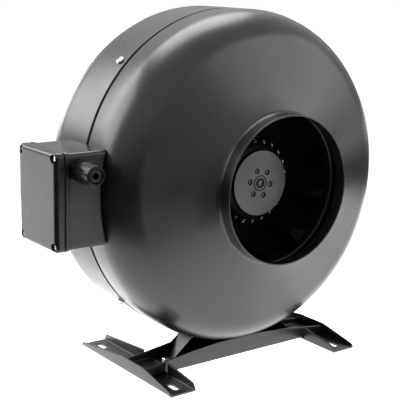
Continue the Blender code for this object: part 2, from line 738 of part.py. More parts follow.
def make_gland(axis):
    """The cable gland: hexagon body, domed nut, rubber seal, and the locknut inside the box."""
    wall_y = BOX_FRONT_Y + RIM_STEP
    place = (GLAND_X, 0.0, GLAND_RISE)
    upright = (0.0, 1.0, 0.0)
    body = prism("Y", wall_y - 0.0060, wall_y - GAP, shifted(hexagon(0.0205), GLAND_X, GLAND_RISE))
    body = add("gland_body", body, BLACK_PLASTIC, axis)
    thread = aimed(disc(THREAD_END_Y, -0.0300, THREAD_RADIUS, GLAND_SIDES), upright, place)
    thread = cutter("gland_thread", thread, axis)
    union = body.modifiers.new("thread", "BOOLEAN")
    union.operation = "UNION"
    union.solver = "EXACT"
    union.object = thread
    cut(body, cutter("gland_bore", aimed(disc(-0.065, -0.025, 0.0046, 16), upright, place), axis))
    nut = [
        (wall_y - 0.0066, THREAD_RADIUS + 0.0004),
        (wall_y - 0.0066, 0.0104),
        (-0.0590, 0.0101),
        (-0.0650, 0.0098),
        (GLAND_END_Y + 0.0008, 0.0094),
        (GLAND_END_Y, 0.0086),
        (GLAND_END_Y, 0.0072),
        (GLAND_END_Y + 0.0022, 0.0067),
        (-0.0620, 0.0067),
        (-0.0600, THREAD_RADIUS + 0.0004),
    ]
    add("gland_nut", aimed(turned(nut, GLAND_SIDES), upright, place), BLACK_PLASTIC, axis, True)
    seal = [(-0.0676, SEAL_BORE), (-0.0680, 0.0045), (-0.0676, 0.0063)]
    seal += [(-0.0600, 0.0063), (-0.0600, SEAL_BORE)]
    add("gland_seal", aimed(turned(seal, 16), upright, place), RUBBER, axis, True)
    inner_y = wall_y + BOX_WALL + GAP
    flats_level = [(x, z) for z, x in hexagon(0.0176)]
    locknut = prism("Y", inner_y, inner_y + 0.0045, shifted(flats_level, GLAND_X, GLAND_RISE))
    locknut = add("gland_locknut", locknut, BLACK_PLASTIC, axis)
    bore = disc(inner_y - 0.002, inner_y + 0.01, THREAD_RADIUS + GAP, GLAND_SIDES)
    cut(locknut, cutter("locknut_bore", aimed(bore, upright, place), axis))


def make_foot(name, side):
    """A channel foot: a slotted web with a low tapered flange along each edge."""
    tip = FOOT_HALF_LENGTH
    outer_heights = [(-tip, 0.0046), (-0.037, 0.0144), (0.002, 0.0144), (tip, 0.0046)]
    inner_heights = [(-tip, 0.0052), (-tip + 0.002, 0.0080), (-0.039, 0.0144)]
    inner_heights += [(0.008, 0.0144), (tip - 0.002, 0.0080), (tip, 0.0052)]
    stations = sorted({y for y, _ in outer_heights + inner_heights})
    sections = []
    for y in stations:
        outer = interpolate(outer_heights, y)
        inner = interpolate(inner_heights, y)
        outline = [
            (FOOT_OUTER, 0.0),
            (FOOT_OUTER, outer),
            (FOOT_OUTER - PLATE, outer),
            (FOOT_OUTER - PLATE, PLATE),
            (FOOT_INNER + PLATE, PLATE),
            (FOOT_INNER + PLATE, inner),
            (FOOT_INNER, inner),
            (FOOT_INNER, 0.0),
        ]
        sections.append([(side * x, y, z) for x, z in outline])
    foot = add(name, loft(sections), BLACK_STEEL)
    gate_x = sorted((side * (FOOT_INNER - 0.004), side * (FOOT_INNER + PLATE + 0.001)))
    gate_y = (CROSSBAR_FRONT_Y - GATE_CLEARANCE, CROSSBAR_BACK_Y + GATE_CLEARANCE)
    gate = prism("Z", PLATE + 0.0001, 0.03, rectangle((gate_x[0], gate_y[0]), (gate_x[1], gate_y[1])))
    cut(foot, cutter(f"{name}_gate", gate))
    middle = side * (FOOT_OUTER + FOOT_INNER) / 2.0
    for end, place in ((-1.0, "front"), (1.0, "back")):
        slot = rounded_rectangle(
            (middle - SLOT_WIDTH / 2.0, end * SLOT_Y - SLOT_LENGTH / 2.0),
            (middle + SLOT_WIDTH / 2.0, end * SLOT_Y + SLOT_LENGTH / 2.0),
            SLOT_WIDTH / 2.0 - 1e-5,
            4,
        )
        cut(foot, cutter(f"{name}_slot_{place}", prism("Z", -0.005, 0.008, slot)))
    relief = aimed(disc(-0.005, 0.008, RELIEF_RADIUS, 12), (0.0, 0.0, 1.0), (side * RELIEF_X, RELIEF_Y, 0.0))
    cut(foot, cutter(f"{name}_relief", relief))


def make_crossbar():
    """The channel that joins the feet. Its walls rise towards the casing."""
    front_heights = [(0.0, 0.0220), (0.027, 0.0220), (0.060, 0.0193), (CROSSBAR_HALF_LENGTH, 0.0118)]
    back_heights = [(0.0, 0.0112), (0.032, 0.0114), (0.048, 0.0174)]
    back_heights += [(0.056, 0.0174), (CROSSBAR_HALF_LENGTH, 0.0093)]
    stations = sorted({x for x, _ in front_heights + back_heights})
    stations = [-x for x in stations[:0:-1]] + stations
    web = PLATE + GAP
    sections = []
    for x in stations:
        front = interpolate(front_heights, abs(x))
        back = interpolate(back_heights, abs(x))
        outline = [
            (CROSSBAR_FRONT_Y, web),
            (CROSSBAR_FRONT_Y, front),
            (CROSSBAR_FRONT_Y + PLATE, front),
            (CROSSBAR_FRONT_Y + PLATE, web + PLATE),
            (CROSSBAR_BACK_Y - PLATE, web + PLATE),
            (CROSSBAR_BACK_Y - PLATE, back),
            (CROSSBAR_BACK_Y, back),
            (CROSSBAR_BACK_Y, web),
        ]
        sections.append(along("X", x, outline))
    return add("crossbar", loft(sections), BLACK_STEEL)


def make_saddle_strap():
    """A bent strap under the casing: curved top, two sloping legs and two bolted ends."""
    seat = CASING_RADIUS + 0.0004
    foot_z = 2.0 * PLATE + 2.0 * GAP + STRAP_SHEET
    span = math.asin(STRAP_TOP_X / seat)
    near, far = STRAP_FOOT_X
    path = [(-far, foot_z), (-near, foot_z)]
    path += arc((0.0, AXIS_HEIGHT), seat, -math.pi / 2.0 - span, 2.0 * span, 10)
    path += [(near, foot_z), (far, foot_z)]
    outline = path + offset_path(path, -STRAP_SHEET)[::-1]
    return add("saddle_strap", prism("Y", STRAP_FRONT_Y, STRAP_BACK_Y, outline), BLACK_STEEL), foot_z


def make_stand():
    make_foot("foot_left", -1.0)
    make_foot("foot_right", 1.0)
    crossbar = make_crossbar()
    strap, foot_z = make_saddle_strap()
    middle_y = (STRAP_FRONT_Y + STRAP_BACK_Y) / 2.0
    for k, x in enumerate((-STRAP_BOLT_X, STRAP_BOLT_X)):
        hole = aimed(disc(-0.004, 0.010, 0.0032, 12), (0.0, 0.0, 1.0), (x, middle_y, 0.0))
        hole = cutter(f"strap_hole_{k + 1}", hole)
        cut(crossbar, hole)
        cut(strap, hole)
        profile = [
            (0.0008, 0.0),
            (0.0008, 0.0028),
            (foot_z + GAP, 0.0028),
            (foot_z + GAP, 0.0052),
            (foot_z + 0.0036, 0.0052),
            (foot_z + 0.0040, 0.0044),
            (foot_z + 0.0040, 0.0),
        ]
        bolt = aimed(turned(profile, 6), (0.0, 0.0, 1.0), (x, middle_y, 0.0))
        add(f"strap_bolt_{k + 1}", bolt, ZINC)


def motor_screw_holes(axis):
    holes = []
    for k, angle in enumerate(DIAGONALS):
        x, z = radial(angle, MOTOR_SCREW_CIRCLE)
        hole = aimed(disc(-0.012, 0.004, 0.0024, SCREW_HOLE_SIDES), (0.0, 1.0, 0.0), (x, 0.0, z))
        holes.append(cutter(f"motor_screw_hole_{k + 1}", hole, axis))
    return holes


def casing_holes(axis):
    """Holes in the rear shell for its four screws."""
    holes = []
    for k, angle in enumerate(DIAGONALS):
        outward = (math.cos(angle), 0.0, math.sin(angle))
        hole = disc(CASING_RADIUS - 0.006, CASING_RADIUS + 0.004, 0.0023, SCREW_HOLE_SIDES)
        hole = aimed(hole, outward, (0.0, CASING_SCREW_Y, 0.0))
        holes.append(cutter(f"casing_hole_{k + 1}", hole, axis))
    return holes


def main():
    clear_scene()
    axis = centre("fan_axis")
    hub = centre("impeller_axis")
    lead_through_wall = disc(CASING_RADIUS - 0.012, CASING_RADIUS + 0.010, LEAD_HOLE_RADIUS, 14)
    lead_through_wall = aimed(lead_through_wall, (-1.0, 0.0, 0.0), (0.0, LEAD_WALL_Y, 0.0))
    lead_through_wall = cutter("lead_wall_hole", lead_through_wall, axis)
    lead_through_flange = disc(-0.012, 0.001, LEAD_RADIUS + 0.0013, 12)
    lead_through_flange = aimed(lead_through_flange, (0.0, 1.0, 0.0), (LEAD_EXIT_X, 0.0, 0.0))
    lead_through_flange = cutter("lead_flange_hole", lead_through_flange, axis)
    screw_holes = motor_screw_holes(axis)

    make_front_shell(axis)
    make_rear_shell(axis, casing_holes(axis) + [lead_through_wall])
    make_casing_screws(axis)
    make_inlet_nozzle(axis)

    make_shroud(hub)
    make_backplate(hub)
    make_blades(hub)
    make_rotor(hub)

    make_stator(axis, screw_holes, lead_through_flange)
    make_motor_support(axis, screw_holes, lead_through_flange)
    make_lead(axis)

    make_box_base(axis, lead_through_wall)
    make_box_gasket(axis)
    make_box_lid(axis)
    make_lid_screws(axis)
    make_box_contents(axis)
    make_gland(axis)

    make_stand()


main()
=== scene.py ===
"""Looks for the inline duct fan: smooth shells, rounded box and stand, and a finish on every piece.

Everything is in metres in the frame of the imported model. The fan's axis runs along Y, air goes in at -Y,
and the wiring box is on the -X side. A piece built here stands for one CAD node, or adds a small detail.
"""

import json
import math
import random

import bmesh
import bpy
from mathutils import Matrix, Vector


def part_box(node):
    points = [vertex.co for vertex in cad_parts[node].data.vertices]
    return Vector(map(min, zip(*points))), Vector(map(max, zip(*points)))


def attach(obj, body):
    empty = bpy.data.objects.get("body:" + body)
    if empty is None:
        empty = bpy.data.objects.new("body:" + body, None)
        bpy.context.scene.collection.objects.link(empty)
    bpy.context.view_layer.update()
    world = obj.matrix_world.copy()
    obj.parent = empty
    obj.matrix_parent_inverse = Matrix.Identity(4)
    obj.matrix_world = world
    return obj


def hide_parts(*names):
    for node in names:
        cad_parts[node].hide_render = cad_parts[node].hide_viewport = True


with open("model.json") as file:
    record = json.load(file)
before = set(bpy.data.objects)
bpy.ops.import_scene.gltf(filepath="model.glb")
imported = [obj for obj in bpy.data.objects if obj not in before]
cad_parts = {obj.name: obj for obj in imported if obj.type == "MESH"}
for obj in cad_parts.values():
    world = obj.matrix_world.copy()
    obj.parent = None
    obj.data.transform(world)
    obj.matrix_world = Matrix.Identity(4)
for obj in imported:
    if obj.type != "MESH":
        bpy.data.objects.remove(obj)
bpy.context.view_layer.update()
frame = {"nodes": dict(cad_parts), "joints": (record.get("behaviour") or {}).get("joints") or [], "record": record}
record = frame["record"]
SLOT_OF = {part["node"]: part["material_slot"] for part in record["subparts"]}
BODY_OF = {node: body for body, nodes in record["behaviour"]["bodies"].items() for node in nodes}

# Places that come from the frame.
AXIS_Z = frame["joints"][0]["pos_m"][2]
FRONT_RIM_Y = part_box("front_shell")[0].y
BACK_RIM_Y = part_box("rear_shell")[1].y
SEAM_FRONT_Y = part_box("front_shell")[1].y
LAP_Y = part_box("rear_shell")[0].y
CASING_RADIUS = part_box("rear_shell")[1].x
IMPELLER_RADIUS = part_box("impeller_backplate")[1].x
ROTOR_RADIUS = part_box("rotor_cup")[1].x
ROTOR_CAP_Y, ROTOR_REAR_Y = (corner.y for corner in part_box("rotor_cup"))
LID_LOW, LID_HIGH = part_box("box_lid")
BASE_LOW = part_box("box_base")[0]
CENTRE = (0.0, 0.0, AXIS_Z)

# Directions and turns.
INWARD = (0.0, 1.0, 0.0)
LEFTWARD = (-1.0, 0.0, 0.0)
UPWARD = (0.0, 0.0, 1.0)
FULL_TURN = 2.0 * math.pi
DIAGONALS = [math.radians(45.0 + 90.0 * k) for k in range(4)]

# Casing.
SHELL_SHEET = 0.0012
GAP = 0.0003
SEAM_WIDTH = 0.0012
JOGGLE_RUN = 0.0030
FRONT_CYLINDER_END = -0.0285
REAR_CYLINDER_END = 0.045
SHOULDER_RADIUS = 0.041
SHOULDER_TURN = math.radians(72.5)
SPIGOT_RADIUS = 0.075
SPIGOT_FILLET = 0.005
COLLAR_RADIUS = 0.100
COLLAR_TURN = math.radians(64.0)
COLLAR_BEND = 0.009
HEM = 0.0017
HEM_LENGTH = 0.0024
HEM_STEP = 0.0008
HEM_BEND = 0.0009
CUT_EDGE = 0.0005
NOZZLE_SHEET = 0.0010
CASING_STEPS = 208
CASING_SCREW_Y = 0.0075

# Impeller and rotor.
EYE_RADIUS = 0.0805
SHROUD_BEND = 0.014
SHROUD_TURN = math.radians(65.0)
SHROUD_BEND_Y = -0.0765
IMPELLER_SHEET = 0.0012
BLADE_COUNT = 11
BLADE_THICKNESS = 0.0014
BLADE_CLEARANCE = 0.0014
BLADE_ANGLE = math.radians(32.0)
BLADE_START = math.radians(15.7)
BLADE_ROOT_FRONT = 0.083
BLADE_ROOT_BACK = 0.072
BLADE_TIP = 0.1095
BLADE_STEPS = 16
BACKPLATE_HUB = 0.0105
ROTOR_CAP_RADIUS = 0.0334
ROTOR_SHOULDER_Y = -0.0465
ROTOR_WALL = 0.0018
RIVETS = 6
RIVET_CIRCLE = 0.0134
RIVET_RECESS = 0.0013
RIVET_RECESS_RADIUS = 0.0030
SHOULDER_HOLES = 22
SHOULDER_HOLE_RADIUS = 0.0017
RING_STEPS = 144

# Screws: the radii of shank and head, and the head's height where the frame doesn't give it.
CASING_SCREW = (0.0019, 0.0042)
MOTOR_SCREW = (0.0020, 0.0038)
MOTOR_SCREW_HEIGHT = 0.0023
LID_SCREW = (0.0018, 0.0034)
LID_SCREW_HEIGHT = 0.0021

# Motor support.
SCREW_HOLE = 0.0024
LEAD_HOLE = 0.0038
LEAD_RADIUS = 0.0025
PLATE_RECESS = 0.0007
LEG_FRONT_Y = -0.0024
LEG_SHEET = 0.0015
LEG_BEND = 0.0030
LEG_WIDTH = 0.024
LEG_ROOT = 0.020
TAB_GAP = 0.0012

# Wiring box.
RIM_STEP = 0.0012
RIM_DEPTH = 0.0045
BOX_CORNER = 0.0050
BOX_WALL = 0.0024
BASE_END_X = -0.1600
CAVITY_END_X = -0.1500
SEAT_GAP = 0.0007
BASE_FLOOR = 0.0030
LID_EDGE = 0.0044
LID_EDGE_STEPS = 9
POST_INSET = 0.0055
POST_SIZE = 0.0093
POST_BORE = 0.0022
GROMMET_HOLE = 0.0062
POCKET_RADIUS = 0.0040
POCKET_DEPTH = 0.0042

# Cable gland.
THREAD_RADIUS = 0.0074
THREAD_DEPTH = 0.0005
THREAD_PITCH = 0.0015
GLAND_BORE = 0.0046
GLAND_FLATS = 0.0205
GLAND_BODY_LENGTH = 0.0060
NUT_GROOVES = 14
NUT_GROOVE_CIRCLE = 0.0109
SEAL_RADIUS = 0.0063
CORD_RADIUS = 0.0033

# Stand.
CHANNEL_SHEET = 0.002
CHANNEL_BEND = 0.0022
FLANGE = 0.0144
SLOT_Y = 0.068
SLOT_HALF_WIDTH = 0.00325
SLOT_HALF_LENGTH = 0.008
SMALL_HOLE = 0.0014
GATE_ROOM = 0.0025
STRAP_SHEET = 0.0015
STRAP_GAP = 0.0004
STRAP_HALF_SPAN = 0.057
STRAP_KNEE_X = 0.0715
STRAP_BEND = 0.0030
BOLT_FLATS = 0.0090
BOLT_RADIUS = 0.0028
BOLT_HOLE = 0.0032


# Meshes.


def turned(outline, steps, axis=INWARD, origin=None):
    """A closed outline of (place along the axis, radius) points, turned about the axis."""
    bm = bmesh.new()
    loops = []
    for place, radius in outline:
        if radius < 1e-6:
            loops.append([bm.verts.new((0.0, place, 0.0))])
            continue
        turns = [FULL_TURN * k / steps for k in range(steps)]
        loops.append([bm.verts.new((radius * math.sin(t), place, radius * math.cos(t))) for t in turns])
    for a, b in zip(loops, loops[1:] + loops[:1]):
        if len(a) == len(b) == 1:
            continue
        for k in range(steps):
            corners = [a[k % len(a)], a[(k + 1) % len(a)], b[(k + 1) % len(b)], b[k % len(b)]]
            bm.faces.new(list(dict.fromkeys(corners)))
    turn = Vector(INWARD).rotation_difference(Vector(axis)).to_matrix().to_4x4()
    bm.transform(Matrix.Translation(origin or CENTRE) @ turn)
    bmesh.ops.recalc_face_normals(bm, faces=bm.faces)
    return bm


def loft(sections):
    """A closed body through sections that have the same number of points each."""
    bm = bmesh.new()
    loops = [[bm.verts.new(point) for point in section] for section in sections]
    for first, second in zip(loops, loops[1:]):
        for k in range(len(first)):
            after = (k + 1) % len(first)
            bm.faces.new((first[k], first[after], second[after], second[k]))
    bm.faces.new(loops[0])
    bm.faces.new(loops[-1])
    bmesh.ops.recalc_face_normals(bm, faces=bm.faces)
    return bm


def rounded(outline, radius, steps=4, closed=True):
    """The outline with each sharp corner turned into an arc of this radius, or as much of it as fits.

    A list of radii gives each corner its own.
    """
    points = [Vector(p) for p in outline]
    radii = radius if isinstance(radius, list) else [radius] * len(points)
    result = []
    for k, point in enumerate(points):
        if not closed and k in (0, len(points) - 1):
            result.append(tuple(point))
            continue
        back = points[k - 1] - point
        ahead = points[(k + 1) % len(points)] - point
        half = back.angle(ahead, math.pi) / 2.0
        if half > math.radians(85.0) or half < 1e-3:
            result.append(tuple(point))
            continue
        reach = min(radii[k] / math.tan(half), 0.45 * back.length, 0.45 * ahead.length)
        fit = reach * math.tan(half)
        middle = point + (back.normalized() + ahead.normalized()).normalized() * fit / math.sin(half)
        start = point + back.normalized() * reach - middle
        end = point + ahead.normalized() * reach - middle
        swing = start.angle_signed(end, 0.0)
        for step in range(steps + 1):
            a = -swing * step / steps
            turn = Matrix.Rotation(a, 2)
            result.append(tuple(middle + turn @ start))
    return result


def offset_path(path, distance):
    """The open path moved to its left by this distance."""
    steps = [(Vector(b) - Vector(a)).normalized() for a, b in zip(path, path[1:])]
    moved = []
    for k, point in enumerate(path):
        before = steps[max(k - 1, 0)]
        after = steps[min(k, len(steps) - 1)]
        mean = (before + after).normalized()
        left = Vector((-mean.y, mean.x))
        moved.append(tuple(Vector(point) + left * distance / max(0.2, mean.dot(after))))
    return moved


def sheet(path, thickness, edge=None):
    """The closed outline of a sheet on the left of an open path, with rounded ends."""
    back = offset_path(path, thickness)
    edge = edge or 0.4 * abs(thickness)
    front = rounded([back[0]] + path[:2], edge, 4, False)[1:-1] + path[1:-1]
    front += rounded(path[-2:] + [back[-1]], edge, 4, False)[1:-1]
    rear = rounded([path[-1], back[-1], back[-2]], edge, 4, False)[1:-1] + back[-2:0:-1]
    rear += rounded([back[1], back[0], path[0]], edge, 4, False)[1:-1]
    return front + rear


def arc(middle, radius, start, turn, steps):
    """Points on an arc, from the angle start through turn, in radians."""
    angles = [start + turn * k / steps for k in range(steps + 1)]
    return [(middle[0] + radius * math.cos(a), middle[1] + radius * math.sin(a)) for a in angles]


def rectangle(low, high):
    return [(low[0], low[1]), (high[0], low[1]), (high[0], high[1]), (low[0], high[1])]


def across(axis, position, outline):
    """An outline's points placed across this axis: (y, z) across X, (x, z) across Y, (x, y) across Z."""
    if axis == "X":
        return [(position, a, b) for a, b in outline]
    if axis == "Y":
        return [(a, position, b) for a, b in outline]
    return [(a, b, position) for a, b in outline]


def prism(axis, low, high, outline):
    """An outline across this axis, drawn out from low to high."""
    return loft([across(axis, low, outline), across(axis, high, outline)])


def rod(low, high, radius, axis=INWARD, origin=None, steps=40):
    """A plain cylinder from low to high along the axis."""
    return turned([(low, 0.0), (low, radius), (high, radius), (high, 0.0)], steps, axis, origin)


def shown(name, bm):
    """A new object in the scene from this mesh."""
    mesh = bpy.data.meshes.new(name)
    bm.to_mesh(mesh)
    bm.free()
    obj = bpy.data.objects.new(name, mesh)
    bpy.context.scene.collection.objects.link(obj)
    return obj


def add_to(bm, other):
    """Adds another mesh to this one and frees it."""
    mesh = bpy.data.meshes.new("joined")
    other.to_mesh(mesh)
    other.free()
    bm.from_mesh(mesh)
    bpy.data.meshes.remove(mesh)


def cut(bm, cutters):
    """This mesh with the cutters' shapes taken out of it. The helper objects are removed again."""
    body = shown("cut_body", bm)
    helpers = []
    for cutter in cutters:
        helper = shown("cutter", cutter)
        modifier = body.modifiers.new("cut", "BOOLEAN")
        modifier.operation = "DIFFERENCE"
        modifier.solver = "EXACT"
        modifier.object = helper
        helpers.append(helper)
    evaluated = body.evaluated_get(bpy.context.evaluated_depsgraph_get())
    result = bmesh.new()
    result.from_mesh(evaluated.to_mesh())
    evaluated.to_mesh_clear()
    for helper in helpers + [body]:
        mesh = helper.data
        bpy.data.objects.remove(helper)
        bpy.data.meshes.remove(mesh)
    return result


def piece(name, bm, body, slot, finish=None, sharp=32.0):
    """A finished piece that rides on a body. Edges over the sharp angle, in degrees, are not smoothed."""
    obj = shown(name, bm)
    obj.data.materials.append(finish or FINISHES[slot])
    obj.data.shade_smooth()
    obj.data.set_sharp_from_angle(angle=math.radians(sharp))
    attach(obj, body)
    return obj


def stand_in(node, bm, bevel=0.0, finish=None, sharp=32.0):
    """A finished piece in place of a CAD node: it takes the node's body, and its slot's finish unless another is
    given.
    """
    obj = piece(f"{node}_form", bm, BODY_OF[node], SLOT_OF[node], finish, sharp)
    if bevel:
        modifier = obj.modifiers.new("edges", "BEVEL")
        modifier.width = bevel
        modifier.segments = 3
        modifier.limit_method = "ANGLE"
        modifier.angle_limit = math.radians(sharp)
        modifier.harden_normals = True
    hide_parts(node)
    return obj


def middle_of(node):
    """The middle of a node's box in the frame."""
    low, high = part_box(node)
    return tuple((a + b) / 2.0 for a, b in zip(low, high))


# Finishes.


def new_material(name):
    made = bpy.data.materials.new(name)
    made.use_nodes = True
    shader = made.node_tree.nodes["Principled BSDF"]
    return made, made.node_tree, shader


def noise(tree, scale, detail=3.0, stretch=(1.0, 1.0, 1.0)):
    """Noise in object space. A stretch under one along an axis draws it out into streaks."""
    place = tree.nodes.new("ShaderNodeTexCoord")
    mapping = tree.nodes.new("ShaderNodeMapping")
    mapping.inputs["Scale"].default_value = stretch
    texture = tree.nodes.new("ShaderNodeTexNoise")
    texture.inputs["Scale"].default_value = scale
    texture.inputs["Detail"].default_value = detail
    tree.links.new(place.outputs["Object"], mapping.inputs["Vector"])
    tree.links.new(mapping.outputs["Vector"], texture.inputs["Vector"])
    return texture.outputs["Fac"]


def mapped(tree, value, start, end, low, high, kind="LINEAR"):
    """A value between start and end mapped to one between low and high."""
    node = tree.nodes.new("ShaderNodeMapRange")
    node.interpolation_type = kind
    node.inputs["From Min"].default_value = start
    node.inputs["From Max"].default_value = end
    node.inputs["To Min"].default_value = low
    node.inputs["To Max"].default_value = high
    tree.links.new(value, node.inputs["Value"])
    return node.outputs["Result"]


def spread(tree, factor, low, high):
    """The noise's middle range mapped to values from low to high."""
    return mapped(tree, factor, 0.30, 0.70, low, high)


def tint(tree, factor, first, second):
    """A colour between two others."""
    mix = tree.nodes.new("ShaderNodeMix")
    mix.data_type = "RGBA"
    mix.inputs["A"].default_value = (*first, 1.0)
    mix.inputs["B"].default_value = (*second, 1.0)
    tree.links.new(factor, mix.inputs["Factor"])
    return mix.outputs["Result"]


def bumped(tree, shader, layers):
    """Bump from (height, strength, distance) layers, one on top of another."""
    normal = None
    for height, strength, distance in layers:
        bump = tree.nodes.new("ShaderNodeBump")
        bump.inputs["Strength"].default_value = strength
        bump.inputs["Distance"].default_value = distance
        tree.links.new(height, bump.inputs["Height"])
        if normal:
            tree.links.new(normal, bump.inputs["Normal"])
        normal = bump.outputs["Normal"]
    tree.links.new(normal, shader.inputs["Normal"])


def coated(name, colours, roughness, grain, peel=0.0, level=0.5):
    """Painted or powder-coated metal: cloudy colour and gloss, fine grain, and orange peel."""
    made, tree, shader = new_material(name)
    cloud = noise(tree, 38.0, 4.0)
    fine = noise(tree, grain, 2.0)
    tree.links.new(tint(tree, spread(tree, cloud, 0.0, 1.0), *colours), shader.inputs["Base Color"])
    tree.links.new(spread(tree, cloud, *roughness), shader.inputs["Roughness"])
    shader.inputs["Specular IOR Level"].default_value = level
    layers = [(fine, 0.12, 0.0002)]
    if peel:
        layers.append((noise(tree, 240.0, 1.0), peel, 0.0004))
    bumped(tree, shader, layers)
    return made


def metal(name, colours, roughness, stretch=(1.0, 1.0, 1.0), grain=900.0, strength=0.12):
    """Bare or plated metal with fine drawing marks and a patchy gloss."""
    made, tree, shader = new_material(name)
    streaks = noise(tree, grain, 3.0, stretch)
    patches = noise(tree, 120.0, 3.0)
    tree.links.new(tint(tree, spread(tree, patches, 0.0, 1.0), *colours), shader.inputs["Base Color"])
    tree.links.new(spread(tree, streaks, *roughness), shader.inputs["Roughness"])
    shader.inputs["Metallic"].default_value = 1.0
    bumped(tree, shader, [(streaks, strength, 0.0001)])
    return made


def plastic(name, colours, roughness, grain=700.0, strength=0.14, level=0.5):
    """Moulded plastic or rubber with a spark-eroded grain."""
    made, tree, shader = new_material(name)
    fine = noise(tree, grain, 3.0)
    broad = noise(tree, 60.0, 2.0)
    tree.links.new(tint(tree, spread(tree, broad, 0.0, 1.0), *colours), shader.inputs["Base Color"])
    tree.links.new(spread(tree, fine, *roughness), shader.inputs["Roughness"])
    shader.inputs["Specular IOR Level"].default_value = level
    bumped(tree, shader, [(fine, strength, 0.0002)])
    return made


def wound(name, colours):
    """Enamelled copper wire in bundled turns."""
    made, tree, shader = new_material(name)
    strands = noise(tree, 1400.0, 2.0, (1.0, 0.12, 1.0))
    tree.links.new(tint(tree, spread(tree, strands, 0.0, 1.0), *colours), shader.inputs["Base Color"])
    tree.links.new(spread(tree, strands, 0.25, 0.45), shader.inputs["Roughness"])
    shader.inputs["Metallic"].default_value = 1.0
    bumped(tree, shader, [(strands, 0.6, 0.0004)])
    return made


def stacked(name, colours):
    """The edges of thin core sheets stacked along the axis."""
    made, tree, shader = new_material(name)
    place = tree.nodes.new("ShaderNodeTexCoord")
    bands = tree.nodes.new("ShaderNodeTexWave")
    bands.bands_direction = "Y"
    bands.inputs["Scale"].default_value = 320.0
    bands.inputs["Distortion"].default_value = 0.4
    tree.links.new(place.outputs["Object"], bands.inputs["Vector"])
    tree.links.new(tint(tree, bands.outputs["Fac"], *colours), shader.inputs["Base Color"])
    tree.links.new(spread(tree, noise(tree, 200.0), 0.35, 0.55), shader.inputs["Roughness"])
    shader.inputs["Metallic"].default_value = 0.9
    bumped(tree, shader, [(bands.outputs["Fac"], 0.5, 0.0002)])
    return made


def make_finishes():
    """The finish of each material slot."""
    black = ((0.0038, 0.0038, 0.0040), (0.0060, 0.0060, 0.0063))
    sooty = ((0.0016, 0.0016, 0.0016), (0.0030, 0.0030, 0.0030))
    grey = ((0.050, 0.050, 0.052), (0.072, 0.072, 0.075))
    nylon = ((0.0060, 0.0060, 0.0062), (0.0100, 0.0100, 0.0104))
    soft_black = ((0.004, 0.004, 0.004), (0.008, 0.008, 0.008))
    zinc = ((0.62, 0.63, 0.65), (0.78, 0.78, 0.77))
    steel = ((0.50, 0.51, 0.52), (0.60, 0.61, 0.62))
    core = ((0.16, 0.16, 0.17), (0.36, 0.36, 0.37))
    copper = ((0.55, 0.20, 0.08), (0.85, 0.42, 0.22))
    aluminium = ((0.60, 0.61, 0.62), (0.74, 0.75, 0.76))
    ivory = ((0.66, 0.65, 0.60), (0.76, 0.75, 0.71))
    along_axis = (0.1, 1.0, 0.1)
    along_can = (1.0, 1.0, 0.06)
    return {
        "shell": coated("powder_coat", black, (0.26, 0.33), 1500.0, 0.10),
        "motor_support": coated("support_paint", black, (0.36, 0.48), 1200.0, 0.12),
        "stand": coated("stand_coat", black, (0.26, 0.34), 1300.0, 0.14),
        "impeller": coated("dipped_black", sooty, (0.38, 0.50), 900.0, 0.10, 0.30),
        "rotor": coated("rotor_enamel", grey, (0.34, 0.46), 1600.0, 0.10),
        "screws": metal("zinc_plate", zinc, (0.18, 0.34)),
        "bright_steel": metal("ground_steel", steel, (0.16, 0.30), along_axis),
        "core_steel": stacked("core_sheets", core),
        "windings": wound("enamelled_wire", copper),
        "flange": metal("cast_aluminium", aluminium, (0.34, 0.52), grain=1100.0, strength=0.3),
        "box": coated("box_paint", black, (0.23, 0.30), 1500.0, 0.05, 0.37),
        "gland": plastic("nylon", nylon, (0.15, 0.22), level=0.14),
        "rubber": plastic("rubber", soft_black, (0.55, 0.75), 500.0, 0.3),
        "terminals": plastic("pale_nylon", ivory, (0.35, 0.50)),
        "capacitor": metal("drawn_can", zinc, (0.22, 0.36), along_can),
    }


FINISHES = make_finishes()
# A darker black with almost no gloss for the casing's insides and its seam: painted shade, not a different coat.
INNER_SHADE_BLACK = ((0.0012, 0.0012, 0.0012), (0.0024, 0.0024, 0.0024))
inner_shade_coat = coated("inner_shade_coat", INNER_SHADE_BLACK, (0.50, 0.65), 1100.0, 0.10, 0.03)


def finish_cad_nodes():
    """Every CAD node that stays in view gets its slot's finish."""
    for name, obj in frame["nodes"].items():
        for material_slot in obj.material_slots:
            material_slot.material = FINISHES[SLOT_OF[name]]


# Casing.


def shell_path(cylinder_end, rim_y):
    """The outside of a shell past its cylinder, as (y, radius): shoulder, cone, collar and spigot."""
    outward = math.copysign(1.0, rim_y)
    middle_radius = CASING_RADIUS - SHOULDER_RADIUS
    path = arc((0.0, middle_radius), SHOULDER_RADIUS, math.pi / 2.0, -SHOULDER_TURN, 24)
    depth, radius = path[-1]
    depth += (radius - COLLAR_RADIUS) / math.tan(SHOULDER_TURN)
    corner = depth + (COLLAR_RADIUS - SPIGOT_RADIUS) / math.tan(COLLAR_TURN)
    rim = abs(rim_y - cylinder_end)
    bends = [path[-1], (depth, COLLAR_RADIUS), (corner, SPIGOT_RADIUS), (rim, SPIGOT_RADIUS)]
    path += rounded(bends, [0.0, COLLAR_BEND, SPIGOT_FILLET, 0.0], 10, False)[1:]
    return [(cylinder_end + outward * depth, radius) for depth, radius in path]


